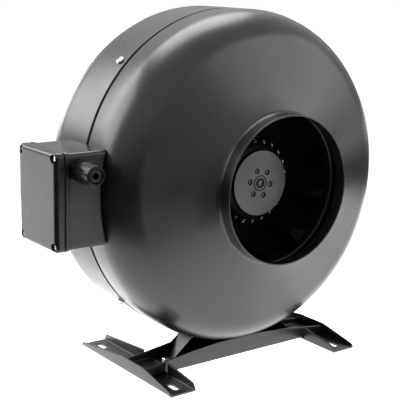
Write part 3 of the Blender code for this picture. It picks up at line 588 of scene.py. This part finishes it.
def shell_outline(path):
    """The closed outline of a shell that ends in a hem, folded inwards at the spigot's rim."""
    outward = math.copysign(1.0, path[-1][0] - path[0][0])
    rim_y = path[-1][0]
    inside = offset_path(path, SHELL_SHEET * -outward)[:-1]
    inside.append((rim_y - outward * (HEM_LENGTH + HEM_STEP), SPIGOT_RADIUS - SHELL_SHEET))
    hem = [(rim_y, SPIGOT_RADIUS), (rim_y, SPIGOT_RADIUS - HEM)]
    hem.append((rim_y - outward * HEM_LENGTH, SPIGOT_RADIUS - HEM))
    bends = [0.0, HEM_BEND, HEM_BEND, 0.0006, 0.0]
    hem = rounded([path[-2]] + hem + [inside[-1]], bends, 5, False)[1:-1]
    edge = rounded([inside[1], inside[0], path[0], path[1]], CUT_EDGE, 4, False)[1:-1]
    return edge + path[1:-1] + hem + inside[:0:-1]


def make_casing():
    """Both shells and the inlet nozzle. The shells' insides and the seam's lap get a darker, almost glossless
    coat: painted shade.
    """
    step = SHELL_SHEET + GAP
    joggle = SEAM_FRONT_Y + SEAM_WIDTH
    front = [(SEAM_FRONT_Y, CASING_RADIUS)] + shell_path(FRONT_CYLINDER_END, FRONT_RIM_Y)
    front_shell = stand_in("front_shell", turned(shell_outline(front), CASING_STEPS))
    lap = [(LAP_Y, CASING_RADIUS - step), (joggle, CASING_RADIUS - step)]
    lap += [(joggle + JOGGLE_RUN, CASING_RADIUS), (REAR_CYLINDER_END, CASING_RADIUS)]
    rear = rounded(lap, 0.0008, 5, False)[:-1] + shell_path(REAR_CYLINDER_END, BACK_RIM_Y)
    rear_shell = stand_in("rear_shell", turned(shell_outline(rear), CASING_STEPS))
    bore_radius = SPIGOT_RADIUS - 1.5 * SHELL_SHEET
    # Faces inside the shells and spigots, and in the seam's lap, take the darker coat: painted shade in the hollow
    # and in the gap.
    for shell in (front_shell, rear_shell):
        shell.data.materials.append(inner_shade_coat)
        for face in shell.data.polygons:
            middle = face.center - Vector((0.0, face.center.y, AXIS_Z))
            inside = face.normal.dot(middle) < 0.0 and middle.length > SPIGOT_RADIUS - 0.5 * SHELL_SHEET
            in_seam = shell == rear_shell and face.center.y < joggle + 0.8 * JOGGLE_RUN
            if inside or in_seam or middle.length < bore_radius:
                face.material_index = 1
    nozzle = [(-0.0807, 0.0960), (-0.0858, 0.0800), (-0.0851, 0.0774)]
    nozzle += [(-0.0832, 0.0766), (-0.0800, 0.0774)]
    lip = turned(sheet(rounded(nozzle, 0.004, 6, False), NOZZLE_SHEET), RING_STEPS)
    stand_in("inlet_nozzle", lip, finish=FINISHES["impeller"])


# Impeller.


def shroud_y(radius):
    """Where the shroud's inner face is at this radius."""
    bend_radius = EYE_RADIUS + SHROUD_BEND * (1.0 - math.cos(SHROUD_TURN))
    if radius >= bend_radius:
        bend_end = SHROUD_BEND_Y + SHROUD_BEND * math.sin(SHROUD_TURN)
        return bend_end + (radius - bend_radius) / math.tan(SHROUD_TURN)
    turn = math.acos(1.0 - (radius - EYE_RADIUS) / SHROUD_BEND)
    return SHROUD_BEND_Y + SHROUD_BEND * math.sin(turn)


def blade_point(radius, start, side):
    """A point of a blade's spiral, moved to one side by half the blade's thickness."""
    angle = start + math.log(radius / BLADE_TIP) / math.tan(BLADE_ANGLE)
    outward = Vector((math.cos(angle), math.sin(angle)))
    sideways = Vector((-outward.y, outward.x))
    ahead = outward * math.sin(BLADE_ANGLE) + sideways * math.cos(BLADE_ANGLE)
    return outward * radius + Vector((-ahead.y, ahead.x)) * side * BLADE_THICKNESS / 2.0


def make_blade(number, back_y):
    """One backward-curved blade, from the shroud to the backplate at back_y."""
    start = FULL_TURN * number / BLADE_COUNT + BLADE_START
    sections = []
    for k in range(BLADE_STEPS + 1):
        share = k / BLADE_STEPS
        front_radius = BLADE_ROOT_FRONT + (BLADE_TIP - BLADE_ROOT_FRONT) * share
        back_radius = BLADE_ROOT_BACK + (BLADE_TIP - BLADE_ROOT_BACK) * share
        front_y = shroud_y(front_radius) + BLADE_CLEARANCE
        section = []
        for radius, y, side in (
            (front_radius, front_y, 1.0),
            (front_radius, front_y, -1.0),
            (back_radius, back_y, -1.0),
            (back_radius, back_y, 1.0),
        ):
            point = blade_point(radius, start, side)
            section.append((point.x, y, point.y + AXIS_Z))
        sections.append(section)
    stand_in(f"impeller_blade_{number + 1:02d}", loft(sections), 0.0003)


def make_impeller():
    """The shroud with its rounded eye, the backplate with its hub, and the blades between them."""
    eye_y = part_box("impeller_shroud")[0].y
    back_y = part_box("impeller_backplate")[1].y
    bend = [(eye_y, EYE_RADIUS)]
    for k in range(13):
        turn = SHROUD_TURN * k / 12
        depth = SHROUD_BEND_Y + SHROUD_BEND * math.sin(turn)
        bend.append((depth, EYE_RADIUS + SHROUD_BEND * (1.0 - math.cos(turn))))
    bend.append((shroud_y(IMPELLER_RADIUS), IMPELLER_RADIUS))
    stand_in("impeller_shroud", turned(sheet(bend, IMPELLER_SHEET), RING_STEPS))
    bore = ROTOR_RADIUS + GAP
    plate = [(back_y - BACKPLATE_HUB, bore), (back_y, bore), (back_y, IMPELLER_RADIUS)]
    outline = sheet(rounded(plate, 0.002, 6, False), IMPELLER_SHEET)
    stand_in("impeller_backplate", turned(outline, RING_STEPS))
    for number in range(BLADE_COUNT):
        make_blade(number, back_y - IMPELLER_SHEET - GAP)


def spot(angle, radius, y):
    """A point on a circle round the axis. The angle runs clockwise from the top, seen from the inlet."""
    return Vector((radius * math.sin(angle), y, AXIS_Z + radius * math.cos(angle)))


def rotor_outline():
    """The closed outline of the cup: a flat cap with a boss and a groove, sloping shoulder, and wall."""
    cap, shoulder = ROTOR_CAP_Y, ROTOR_SHOULDER_Y
    pin, recess, groove, inside = cap + 0.0002, cap + 0.0018, cap + 0.0010, cap + 0.0023
    outline = [
        (pin, 0.0),
        (pin, 0.0026),
        (recess, 0.0030),
        (recess, 0.0049),
        (cap, 0.0053),
        (cap, 0.0071),
        (groove, 0.0073),
        (groove, 0.0080),
        (cap, 0.0083),
        (cap, ROTOR_CAP_RADIUS),
        (cap + 0.0035, ROTOR_CAP_RADIUS + 0.0004),
        (cap + 0.0060, ROTOR_CAP_RADIUS + 0.0040),
        (shoulder - 0.0026, ROTOR_RADIUS - 0.0014),
        (shoulder - 0.0008, ROTOR_RADIUS - 0.0012),
        (shoulder, ROTOR_RADIUS),
        (ROTOR_REAR_Y, ROTOR_RADIUS),
        (ROTOR_REAR_Y, ROTOR_RADIUS - ROTOR_WALL),
        (shoulder + 0.0012, ROTOR_RADIUS - ROTOR_WALL),
        (shoulder - 0.0012, ROTOR_RADIUS - ROTOR_WALL - 0.0014),
        (inside + 0.0050, ROTOR_CAP_RADIUS + 0.0024),
        (inside, ROTOR_CAP_RADIUS - 0.0015),
        (inside, 0.0),
    ]
    return [outline[0]] + rounded(outline[1:-1], 0.0006, 3, False) + [outline[-1]]


def rivet_spot(number, y):
    """Where this rivet of the rotor is. The first is 20 degrees before the top."""
    return spot(math.radians(60.0 * number - 20.0), RIVET_CIRCLE, y)


def shoulder_hole(number):
    """The middle of this hole in the rotor's shoulder, and the way that it points."""
    turn = Matrix.Rotation(FULL_TURN * number / SHOULDER_HOLES, 3, "Y")
    outward = turn @ Vector((0.0, -1.0, 1.0)).normalized()
    middle = turn @ Vector((0.0, ROTOR_CAP_Y + 0.0104, 0.0418)) + Vector(CENTRE)
    return middle, outward


def make_rotor():
    """The rotor: a flat cap with six riveted recesses and a boss, and a shoulder with a ring of holes."""
    holes = [shoulder_hole(number) for number in range(SHOULDER_HOLES)]
    cutters = []
    for number in range(RIVETS):
        middle = rivet_spot(number, ROTOR_CAP_Y)
        cutters.append(rod(-0.002, RIVET_RECESS, RIVET_RECESS_RADIUS, origin=middle, steps=28))
    for middle, outward in holes:
        cutters.append(rod(-0.0011, 0.003, SHOULDER_HOLE_RADIUS, outward, middle, 16))
    cup = stand_in("rotor_cup", cut(turned(rotor_outline(), RING_STEPS), cutters), sharp=28.0)
    # Every face behind the cap's face takes the impeller's black. In the rivet recesses and the groove round the
    # boss, this black is painted shade.
    cup.data.materials.append(FINISHES["impeller"])
    for face in cup.data.polygons:
        face.material_index = int(face.center.y > ROTOR_CAP_Y + 0.0005)
    rivets = bmesh.new()
    dome = [(0.0003, 0.0), (0.0003, 0.0014), (-0.0008, 0.0013), (-0.0012, 0.0008), (-0.0013, 0.0)]
    for number in range(RIVETS):
        add_to(rivets, turned(dome, 20, origin=rivet_spot(number, ROTOR_CAP_Y + RIVET_RECESS)))
    piece("rotor_rivets", rivets, "impeller", "rotor")
    edge = arc((ROTOR_SHOULDER_Y - 0.0012, ROTOR_RADIUS - 0.0013), 0.0004, 0.0, FULL_TURN, 8)[:-1]
    rims = turned(edge, RING_STEPS)
    for middle, outward in holes:
        rim = arc((0.0, 0.0018), 0.0003, 0.0, FULL_TURN, 8)[:-1]
        add_to(rims, turned(rim, 20, outward, middle))
    piece("rotor_rims", rims, "impeller", "bright_steel")


# Screws and motor support.


def box_at(size, matrix):
    """A box of this size, placed by the matrix."""
    bm = bmesh.new()
    bmesh.ops.create_cube(bm, size=1.0)
    bm.transform(matrix @ Matrix.Diagonal((*size, 1.0)))
    return bm


def screw(tip, seat, radii, height, axis, origin, spin):
    """A pan-head screw along this axis, with a cross recess in its head. The radii are shank and head."""
    shank, head = radii
    outline = [
        (tip, 0.0),
        (tip, shank),
        (seat, shank),
        (seat, head),
        (seat + 0.35 * height, head),
        (seat + 0.80 * height, 0.78 * head),
        (seat + height, 0.40 * head),
        (seat + height, 0.0),
    ]
    outline[1:-1] = rounded(outline[1:-1], 0.25 * head, 4, False)
    body = turned(outline, 36, axis, origin)
    aim = Vector(INWARD).rotation_difference(Vector(axis)).to_matrix().to_4x4()
    place = Matrix.Translation(origin) @ aim @ Matrix.Translation((0.0, seat + 0.8 * height, 0.0))
    cutters = []
    for quarter in (0.0, math.pi / 2.0):
        turn = Matrix.Rotation(spin + quarter, 4, "Y")
        cutters.append(box_at((1.15 * head, 0.9 * height, 0.24 * head), place @ turn))
    return cut(body, cutters)


def ends_along(node, axis):
    """The lowest and highest reach of a node's points along this direction from the casing's centre."""
    spots = [(v.co - Vector(CENTRE)).dot(Vector(axis)) for v in frame["nodes"][node].data.vertices]
    return min(spots), max(spots)


def make_screws():
    """The screws of the casing, motor and lid. Each cross recess is at a turn of its own."""
    spins = random.Random(7)
    for k, angle in enumerate(DIAGONALS):
        outward = (math.cos(angle), 0.0, math.sin(angle))
        tip, top = ends_along(f"casing_screw_{k + 1}", outward)
        seat = CASING_RADIUS + GAP
        middle = (0.0, CASING_SCREW_Y, AXIS_Z)
        body = screw(tip, seat, CASING_SCREW, top - seat, outward, middle, spins.random())
        stand_in(f"casing_screw_{k + 1}", body)
        low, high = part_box(f"motor_screw_{k + 1}")
        x, _, z = middle_of(f"motor_screw_{k + 1}")
        seat = high.y - MOTOR_SCREW_HEIGHT
        body = screw(low.y, seat, MOTOR_SCREW, MOTOR_SCREW_HEIGHT, INWARD, (x, 0.0, z), spins.random())
        stand_in(f"motor_screw_{k + 1}", body)
        low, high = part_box(f"lid_screw_{k + 1}")
        _, y, z = middle_of(f"lid_screw_{k + 1}")
        seat = -low.x - LID_SCREW_HEIGHT
        body = screw(-high.x, seat, LID_SCREW, LID_SCREW_HEIGHT, LEFTWARD, (0.0, y, z), spins.random())
        stand_in(f"lid_screw_{k + 1}", body)


def motor_screw_hole(number):
    x, _, z = middle_of(f"motor_screw_{number}")
    return rod(-0.02, 0.02, SCREW_HOLE, origin=(x, 0.0, z), steps=24)


def make_motor_support():
    """The round plate that carries the motor, and its four legs with a tab at each end."""
    low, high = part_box("motor_plate")
    holes = [motor_screw_hole(k + 1) for k in range(4)]
    lead_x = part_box("motor_lead")[1].x - LEAD_RADIUS
    holes.append(rod(-0.02, 0.02, LEAD_HOLE, origin=(lead_x, 0.0, AXIS_Z), steps=28))
    recess = high.y - PLATE_RECESS
    outline = [(low.y, 0.0), (low.y, high.x), (high.y, high.x), (high.y, 0.0180), (recess, 0.0165)]
    outline += [(recess, 0.0)]
    stand_in("motor_plate", cut(turned(outline, RING_STEPS), holes), 0.0003)
    tab_radius = CASING_RADIUS - SHELL_SHEET - TAB_GAP - LEG_SHEET
    tab_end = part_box("bracket_leg_1")[1].y
    leg_back = LEG_FRONT_Y + LEG_SHEET
    path = [(LEG_ROOT, leg_back), (tab_radius, leg_back), (tab_radius, tab_end)]
    outline = sheet(rounded(path, LEG_BEND, 6, False), -LEG_SHEET, 0.0003)
    for k, angle in enumerate(DIAGONALS):
        out = Vector((math.cos(angle), 0.0, math.sin(angle)))
        side = Vector((-out.z, 0.0, out.x)) * (LEG_WIDTH / 2.0)
        sections = []
        for sign in (-1.0, 1.0):
            centre = Vector(CENTRE) + side * sign
            sections.append([centre + out * reach + Vector((0.0, y, 0.0)) for reach, y in outline])
        leg = cut(loft(sections), [motor_screw_hole(k + 1)])
        stand_in(f"bracket_leg_{k + 1}", leg, 0.0003)


# Wiring box.


def box_outline(inset, radius):
    """The box's outline across X, this far inside the lid's edge, with corners of this radius."""
    low = (LID_LOW.y + inset, LID_LOW.z + inset)
    high = (LID_HIGH.y - inset, LID_HIGH.z - inset)
    return rounded(rectangle(low, high), radius, 7)


def cavity_outline(inset, reach):
    """The inside of the box: a rectangle whose four corners are left for the screw posts."""
    low = Vector((LID_LOW.y + inset, LID_LOW.z + inset))
    high = Vector((LID_HIGH.y - inset, LID_HIGH.z - inset))
    centre = (low + high) / 2.0
    points = []
    for k, (y, z) in enumerate(rectangle(low, high)):
        inner_y = y + math.copysign(reach, centre.x - y)
        inner_z = z + math.copysign(reach, centre.y - z)
        corner = [(y, inner_z), (inner_y, inner_z), (inner_y, z)]
        points += corner if k % 2 == 0 else corner[::-1]
    return rounded(points, 0.0012, 3)


def post_centres():
    """The (y, z) places of the box's four screws."""
    ys = (LID_LOW.y + POST_INSET, LID_HIGH.y - POST_INSET)
    zs = (LID_LOW.z + POST_INSET, LID_HIGH.z - POST_INSET)
    return [(y, z) for z in zs for y in ys]


def make_base(inside):
    """The box's base, which follows the casing's curve and has holes for gland, lead and screws."""
    rim_back = BASE_LOW.x + RIM_DEPTH
    stations = [
        (BASE_LOW.x, 0.0004),
        (BASE_LOW.x + 0.0004, 0.0),
        (rim_back - 0.0006, 0.0),
        (rim_back, 0.0005),
        (rim_back + 0.0004, RIM_STEP),
        (BASE_END_X, RIM_STEP),
    ]
    base = loft([across("X", x, box_outline(inset, BOX_CORNER - inset)) for x, inset in stations])
    casing = rod(LID_LOW.y - 0.02, LID_HIGH.y + 0.02, CASING_RADIUS + SEAT_GAP, steps=CASING_STEPS)
    cavity = prism("X", BASE_LOW.x - 0.002, CAVITY_END_X, inside)
    floor = rod(LID_LOW.y - 0.03, LID_HIGH.y + 0.03, CASING_RADIUS + BASE_FLOOR, steps=CASING_STEPS)
    gland_x, _, gland_z = middle_of("gland_nut")
    gland_hole = rod(-0.05, -0.034, THREAD_RADIUS + 0.0004, origin=(gland_x, 0.0, gland_z))
    lead_hole = rod(0.16, 0.182, GROMMET_HOLE, LEFTWARD, (0.0, middle_of("lead_grommet")[1], AXIS_Z))
    cutters = [casing, cut(cavity, [floor]), gland_hole, lead_hole]
    for y, z in post_centres():
        cutters.append(rod(0.1960, 0.2150, POST_BORE, LEFTWARD, (0.0, y, z), 20))
    stand_in("box_base", cut(base, cutters), 0.0005)


def make_lid(inside):
    """The box's lid: a rounded edge, and a round pocket at each corner for its screw."""
    sections = []
    for k in range(LID_EDGE_STEPS + 1):
        turn = math.pi / 2.0 * k / LID_EDGE_STEPS
        inset = LID_EDGE * (1.0 - math.sin(turn))
        depth = LID_EDGE * (1.0 - math.cos(turn))
        sections.append(across("X", LID_LOW.x + depth, box_outline(inset, BOX_CORNER - 0.7 * inset)))
    sections.append(across("X", LID_HIGH.x - 0.0004, box_outline(0.0, BOX_CORNER)))
    sections.append(across("X", LID_HIGH.x, box_outline(0.0004, BOX_CORNER)))
    cutters = [prism("X", LID_LOW.x + BOX_WALL, LID_HIGH.x + 0.002, inside)]
    face = -LID_LOW.x
    for y, z in post_centres():
        post = (0.0, y, z)
        cutters.append(rod(face - POCKET_DEPTH, face + 0.002, POCKET_RADIUS, LEFTWARD, post, 36))
        cutters.append(rod(-LID_HIGH.x - 0.003, face, POST_BORE, LEFTWARD, post, 20))
    stand_in("box_lid", cut(loft(sections), cutters), 0.0003, sharp=36.0)


def make_box():
    """The wiring box: base, gasket and lid, with the same space inside base and lid."""
    wall = RIM_STEP + BOX_WALL
    inside = cavity_outline(wall, POST_SIZE - wall)
    make_base(inside)
    low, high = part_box("box_gasket")
    gasket = prism("X", low.x, high.x, box_outline(0.0010, 0.0045))
    hole = prism("X", low.x - 0.001, high.x + 0.001, box_outline(0.0032, 0.0030))
    stand_in("box_gasket", cut(gasket, [hole]), 0.0002)
    make_lid(inside)


def hexagon(across_flats, centre):
    radius = across_flats / math.sqrt(3.0)
    turns = [k * math.pi / 3.0 for k in range(6)]
    return [(centre[0] + radius * math.sin(t), centre[1] + radius * math.cos(t)) for t in turns]


def make_gland():
    """The cable gland: hexagon body with its thread, domed nut and rubber seal."""
    x, _, z = middle_of("gland_nut")
    origin = (x, 0.0, z)
    low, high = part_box("gland_body")
    wall_y = LID_LOW.y + RIM_STEP
    flats_y = wall_y - GLAND_BODY_LENGTH
    flats = prism("Y", flats_y, wall_y - GAP, rounded(hexagon(GLAND_FLATS, (x, z)), 0.0008, 3))
    chamfer = [(flats_y - 0.0030, 0.0085), (flats_y + 0.0024, 0.0139)]
    chamfer += [(flats_y + 0.0024, 0.02), (flats_y - 0.0030, 0.02)]
    bore = rod(-0.070, -0.030, GLAND_BORE, origin=origin)
    stand_in("gland_body", cut(flats, [turned(chamfer, 64, origin=origin), bore]), 0.0003)
    thread = [(high.y, GLAND_BORE)]
    place = high.y
    while place > low.y + 0.0007:
        thread += [(place, THREAD_RADIUS - THREAD_DEPTH), (place - THREAD_PITCH / 2.0, THREAD_RADIUS)]
        place -= THREAD_PITCH
    thread += [(low.y, THREAD_RADIUS - 0.0006), (low.y, GLAND_BORE)]
    piece("gland_thread", turned(thread, 48, origin=origin), "casing", "gland")
    make_gland_nut(origin)
    low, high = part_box("gland_seal")
    groove = low.y + 0.0008
    seal = [
        (low.y + 0.0004, CORD_RADIUS),
        (low.y, 0.0040),
        (low.y, 0.0046),
        (groove, 0.0049),
        (groove, 0.0053),
        (low.y, 0.0056),
        (low.y + 0.0004, SEAL_RADIUS),
        (high.y, SEAL_RADIUS),
        (high.y, CORD_RADIUS),
    ]
    stand_in("gland_seal", turned(rounded(seal, 0.0002, 3), 56, origin=origin))


def make_gland_nut(origin):
    """The gland's nut, with a domed front and grooves along its grip."""
    low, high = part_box("gland_nut")
    front, back = low.y, high.y
    bore = THREAD_RADIUS + 0.0004
    nut = [
        (back, bore),
        (back, 0.0104),
        (back - 0.0120, 0.0101),
        (back - 0.0180, 0.0098),
        (front + 0.0008, 0.0094),
        (front, 0.0086),
        (front, 0.0072),
        (front + 0.0022, 0.0067),
        (-0.0620, 0.0067),
        (-0.0600, bore),
    ]
    grooves = []
    for k in range(NUT_GROOVES):
        turn = FULL_TURN * k / NUT_GROOVES
        x = origin[0] + NUT_GROOVE_CIRCLE * math.cos(turn)
        z = origin[2] + NUT_GROOVE_CIRCLE * math.sin(turn)
        grooves.append(rod(front + 0.0030, back + 0.002, 0.0011, origin=(x, 0.0, z), steps=16))
    stand_in("gland_nut", cut(turned(rounded(nut, 0.0006, 4), 96, origin=origin), grooves))


# Stand.


def interpolate(table, value):
    """The height of a line through (position, height) points, at this position."""
    for (x0, h0), (x1, h1) in zip(table, table[1:]):
        if x0 <= value <= x1:
            return h0 + (h1 - h0) * (value - x0) / (x1 - x0)
    return table[-1][1]


def channel(low, high, base, first, second):
    """A channel's section: its floor from low to high at this base, and its two walls' heights."""
    outline = [
        (low, base),
        (low, first),
        (low + CHANNEL_SHEET, first),
        (low + CHANNEL_SHEET, base + CHANNEL_SHEET),
        (high - CHANNEL_SHEET, base + CHANNEL_SHEET),
        (high - CHANNEL_SHEET, second),
        (high, second),
        (high, base),
    ]
    edge = 0.0006
    return rounded(outline, [CHANNEL_BEND, edge, edge, 0.0012, 0.0012, edge, edge, CHANNEL_BEND], 5)


def softened(table, radius):
    """A wall's (position, height) line with rounded corners."""
    return rounded(table, radius, 4, False)


def mirrored(half):
    """A wall's line from one end to the middle, with its mirror image added as the other half."""
    return half + [(-place, height) for place, height in reversed(half)]


def make_foot(name, side):
    """A channel foot: a slotted web with a low tapered flange along each edge."""
    low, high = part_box(name)
    inner, outer = sorted((abs(low.x), abs(high.x)))
    tip = high.y
    outer_line = [(-tip, 0.0022), (-tip + 0.0010, 0.0046), (-0.037, FLANGE), (0.002, FLANGE)]
    outer_line += [(tip - 0.0010, 0.0046), (tip, 0.0022)]
    inner_line = [(-tip, 0.0030), (-tip + 0.0030, 0.0080), (-0.039, FLANGE), (0.008, FLANGE)]
    inner_line += [(tip - 0.0030, 0.0080), (tip, 0.0030)]
    outer_line, inner_line = softened(outer_line, 0.0035), softened(inner_line, 0.0035)
    stations = sorted({y for y, _ in outer_line + inner_line})
    sections = []
    for y in stations:
        outline = channel(inner, outer, 0.0, interpolate(inner_line, y), interpolate(outer_line, y))
        sections.append([(side * x, y, z) for x, z in outline])
    bar_low, bar_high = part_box("crossbar")
    gate_y = (bar_low.y - GATE_ROOM, bar_high.y + GATE_ROOM)
    gate_x = sorted((side * (inner - 0.004), side * (inner + CHANNEL_SHEET + 0.001)))
    gate = rounded(rectangle((gate_x[0], gate_y[0]), (gate_x[1], gate_y[1])), 0.0001)
    cutters = [prism("Z", CHANNEL_SHEET + 0.0008, 0.03, gate)]
    middle = side * (inner + outer) / 2.0
    for end in (-1.0, 1.0):
        low_corner = (middle - SLOT_HALF_WIDTH, end * SLOT_Y - SLOT_HALF_LENGTH)
        high_corner = (middle + SLOT_HALF_WIDTH, end * SLOT_Y + SLOT_HALF_LENGTH)
        slot = rounded(rectangle(low_corner, high_corner), 0.00324, 10)
        cutters.append(prism("Z", -0.005, 0.008, slot))
    small_hole = (side * 0.0965, -0.0420, 0.0)
    cutters.append(rod(-0.005, 0.008, SMALL_HOLE, UPWARD, small_hole, 24))
    stand_in(name, cut(loft(sections), cutters), sharp=40.0)


def make_crossbar():
    """The channel that joins the feet. Its walls rise towards the casing."""
    low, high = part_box("crossbar")
    half = high.x
    front_line = mirrored([(-half, 0.0118), (-0.060, 0.0193), (-0.027, 0.0220)])
    back_line = mirrored([(-half, 0.0093), (-0.056, 0.0174), (-0.048, 0.0174), (-0.032, 0.0114)])
    front_line, back_line = softened(front_line, 0.012), softened(back_line, 0.004)
    stations = sorted({x for x, _ in front_line + back_line})
    sections = []
    for x in stations:
        outline = channel(low.y, high.y, low.z, interpolate(front_line, x), interpolate(back_line, x))
        sections.append(across("X", x, outline))
    holes = [bolt_hole(k) for k in (1, 2)]
    stand_in("crossbar", cut(loft(sections), holes), sharp=40.0)


def bolt_hole(number):
    x, y, _ = middle_of(f"strap_bolt_{number}")
    return rod(-0.004, 0.010, BOLT_HOLE, UPWARD, (x, y, 0.0), 28)


def make_saddle_strap():
    """A bent strap under the casing: curved top, two sloping legs and two bolted ends."""
    low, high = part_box("saddle_strap")
    seat = CASING_RADIUS + STRAP_GAP
    foot_z = low.z + STRAP_SHEET
    span = math.asin(STRAP_HALF_SPAN / seat)
    top = arc((0.0, AXIS_Z), seat, -math.pi / 2.0 - span, 2.0 * span, 32)
    path = [(low.x, foot_z), (-STRAP_KNEE_X, foot_z)] + top + [(STRAP_KNEE_X, foot_z), (high.x, foot_z)]
    outline = sheet(rounded(path, STRAP_BEND, 6, False), -STRAP_SHEET, 0.0003)
    strap = cut(prism("Y", low.y, high.y, outline), [bolt_hole(k) for k in (1, 2)])
    stand_in("saddle_strap", strap, 0.0003)
    for k in (1, 2):
        bolt_low, bolt_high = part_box(f"strap_bolt_{k}")
        x, y, _ = middle_of(f"strap_bolt_{k}")
        origin = (x, y, 0.0)
        top_z = bolt_high.z
        head = prism("Z", foot_z + GAP, top_z, rounded(hexagon(BOLT_FLATS, (x, y)), 0.0003, 2))
        crown = [(foot_z + 0.0020, 0.0060), (top_z, 0.0042)]
        crown += [(top_z + 0.001, 0.0042), (top_z + 0.001, 0.0060)]
        bolt = cut(head, [turned(crown, 48, UPWARD, origin)])
        add_to(bolt, rod(bolt_low.z, foot_z + GAP, BOLT_RADIUS, UPWARD, origin, 28))
        stand_in(f"strap_bolt_{k}", bolt)


# Studio.


def make_floor():
    """A pale table that glows: brightest under the fan, and level from 0.34 m outwards."""
    floor = shown("floor", prism("Z", -0.004, -0.0004, rectangle((-6.0, -6.0), (6.0, 6.0))))
    made, tree, shader = new_material("studio_floor")
    cloud = noise(tree, 2.0, 3.0)
    pale = tint(tree, spread(tree, cloud, 0.0, 1.0), (0.48, 0.48, 0.48), (0.52, 0.52, 0.52))
    tree.links.new(pale, shader.inputs["Base Color"])
    shader.inputs["Emission Color"].default_value = (1.0, 1.0, 1.0, 1.0)
    reach = tree.nodes.new("ShaderNodeVectorMath")
    reach.operation = "LENGTH"
    place = tree.nodes.new("ShaderNodeTexCoord")
    tree.links.new(place.outputs["Object"], reach.inputs[0])
    glow = mapped(tree, reach.outputs["Value"], 0.12, 0.34, 2.2, 1.05, "SMOOTHSTEP")
    tree.links.new(glow, shader.inputs["Emission Strength"])
    shader.inputs["Roughness"].default_value = 0.8
    floor.data.materials.append(made)


def softbox(name, place, size, radiance):
    """A rectangular light at this place, of this size and brightness, that faces the casing's centre."""
    data = bpy.data.lights.new(name, "AREA")
    data.shape = "RECTANGLE"
    data.size, data.size_y = size
    data.energy = radiance * math.pi * size[0] * size[1]
    lamp = bpy.data.objects.new(name, data)
    bpy.context.scene.collection.objects.link(lamp)
    lamp.location = place
    lamp.rotation_euler = (Vector(CENTRE) - Vector(place)).to_track_quat("-Z", "Y").to_euler()


def toward(azimuth, height, distance):
    """A place this far from the casing's centre. The azimuth, in degrees, is 0 in front and 90 at +X."""
    turn, lift = math.radians(azimuth), math.radians(height)
    flat = distance * math.cos(lift)
    return flat * math.sin(turn), -flat * math.cos(turn), AXIS_Z + distance * math.sin(lift)


def make_lights():
    """Softboxes behind, above and in front on the right, and a soft room that fades downwards."""
    for name, azimuth, height, distance, size, radiance in (
        ("left_rear", -131.0, 30.0, 1.8, (1.75, 1.20), 6.2),
        ("top_rear", 160.0, 68.0, 1.8, (1.60, 1.20), 7.0),
        ("low_rear", -178.0, 8.0, 1.9, (0.70, 0.50), 5.0),
        ("front_right", 48.0, 19.0, 1.8, (1.80, 1.05), 2.2),
    ):
        softbox(name, toward(azimuth, height, distance), size, radiance)
    world = bpy.data.worlds.new("studio")
    world.use_nodes = True
    tree = world.node_tree
    place = tree.nodes.new("ShaderNodeTexCoord")
    apart = tree.nodes.new("ShaderNodeSeparateXYZ")
    tree.links.new(place.outputs["Generated"], apart.inputs["Vector"])
    room = mapped(tree, apart.outputs["Z"], 0.05, 0.45, 0.45, 1.05)
    path = tree.nodes.new("ShaderNodeLightPath")
    backdrop = tree.nodes.new("ShaderNodeMix")
    backdrop.inputs["B"].default_value = 1.0
    tree.links.new(path.outputs["Is Camera Ray"], backdrop.inputs["Factor"])
    tree.links.new(room, backdrop.inputs["A"])
    background = tree.nodes["Background"]
    background.inputs["Color"].default_value = (1.0, 1.0, 1.0, 1.0)
    tree.links.new(backdrop.outputs["Result"], background.inputs["Strength"])
    bpy.context.scene.world = world
    bpy.context.scene.view_settings.view_transform = "Standard"


def make_flags():
    """Dark cloths out of view: on the floor round the white table, and standing in front on the left."""
    made, tree, shader = new_material("dark_cloth")
    weave = noise(tree, 400.0, 2.0)
    dark = tint(tree, spread(tree, weave, 0.0, 1.0), (0.010, 0.010, 0.010), (0.020, 0.020, 0.020))
    tree.links.new(dark, shader.inputs["Base Color"])
    shader.inputs["Roughness"].default_value = 0.9
    shader.inputs["Specular IOR Level"].default_value = 0.1
    for name, first, last, inner, outer, top in (
        ("cloth_left", -112, -16, 0.38, 2.4, 0.002),
        ("cloth_round", -16, 184, 0.80, 2.4, 0.002),
        ("cloth_standing", -104, -20, 0.90, 0.91, 0.28),
    ):
        outline = [toward(azimuth, 0.0, inner)[:2] for azimuth in range(first, last + 1, 4)]
        outline += [toward(azimuth, 0.0, outer)[:2] for azimuth in range(last, first - 1, -4)]
        flag = shown(name, prism("Z", 0.0005, top, outline))
        flag.data.materials.append(made)
        flag.visible_camera = False


def make_camera():
    """The photograph's viewing angle: from the inlet side, a little above and towards the wiring box."""
    place = Vector((-0.6539, -0.8459, 0.4064))
    swing, lift, roll = -0.63675, 0.22223, 0.018744
    back = Vector((math.sin(swing) * math.cos(lift), -math.cos(swing) * math.cos(lift), math.sin(lift)))
    level = Vector((math.cos(swing), math.sin(swing), 0.0))
    upward = back.cross(level)
    right = level * math.cos(roll) + upward * math.sin(roll)
    up = upward * math.cos(roll) - level * math.sin(roll)
    data = bpy.data.cameras.new("camera")
    data.lens = 92.65
    data.sensor_width = 36.0
    camera = bpy.data.objects.new("camera", data)
    bpy.context.scene.collection.objects.link(camera)
    turn = Matrix((right, up, back)).transposed().to_4x4()
    camera.matrix_world = Matrix.Translation(place) @ turn
    bpy.context.scene.camera = camera


make_camera()
finish_cad_nodes()
make_casing()
make_impeller()
make_rotor()
make_screws()
make_motor_support()
make_box()
make_gland()
make_foot("foot_left", -1.0)
make_foot("foot_right", 1.0)
make_crossbar()
make_saddle_strap()
make_floor()
make_flags()
make_lights()
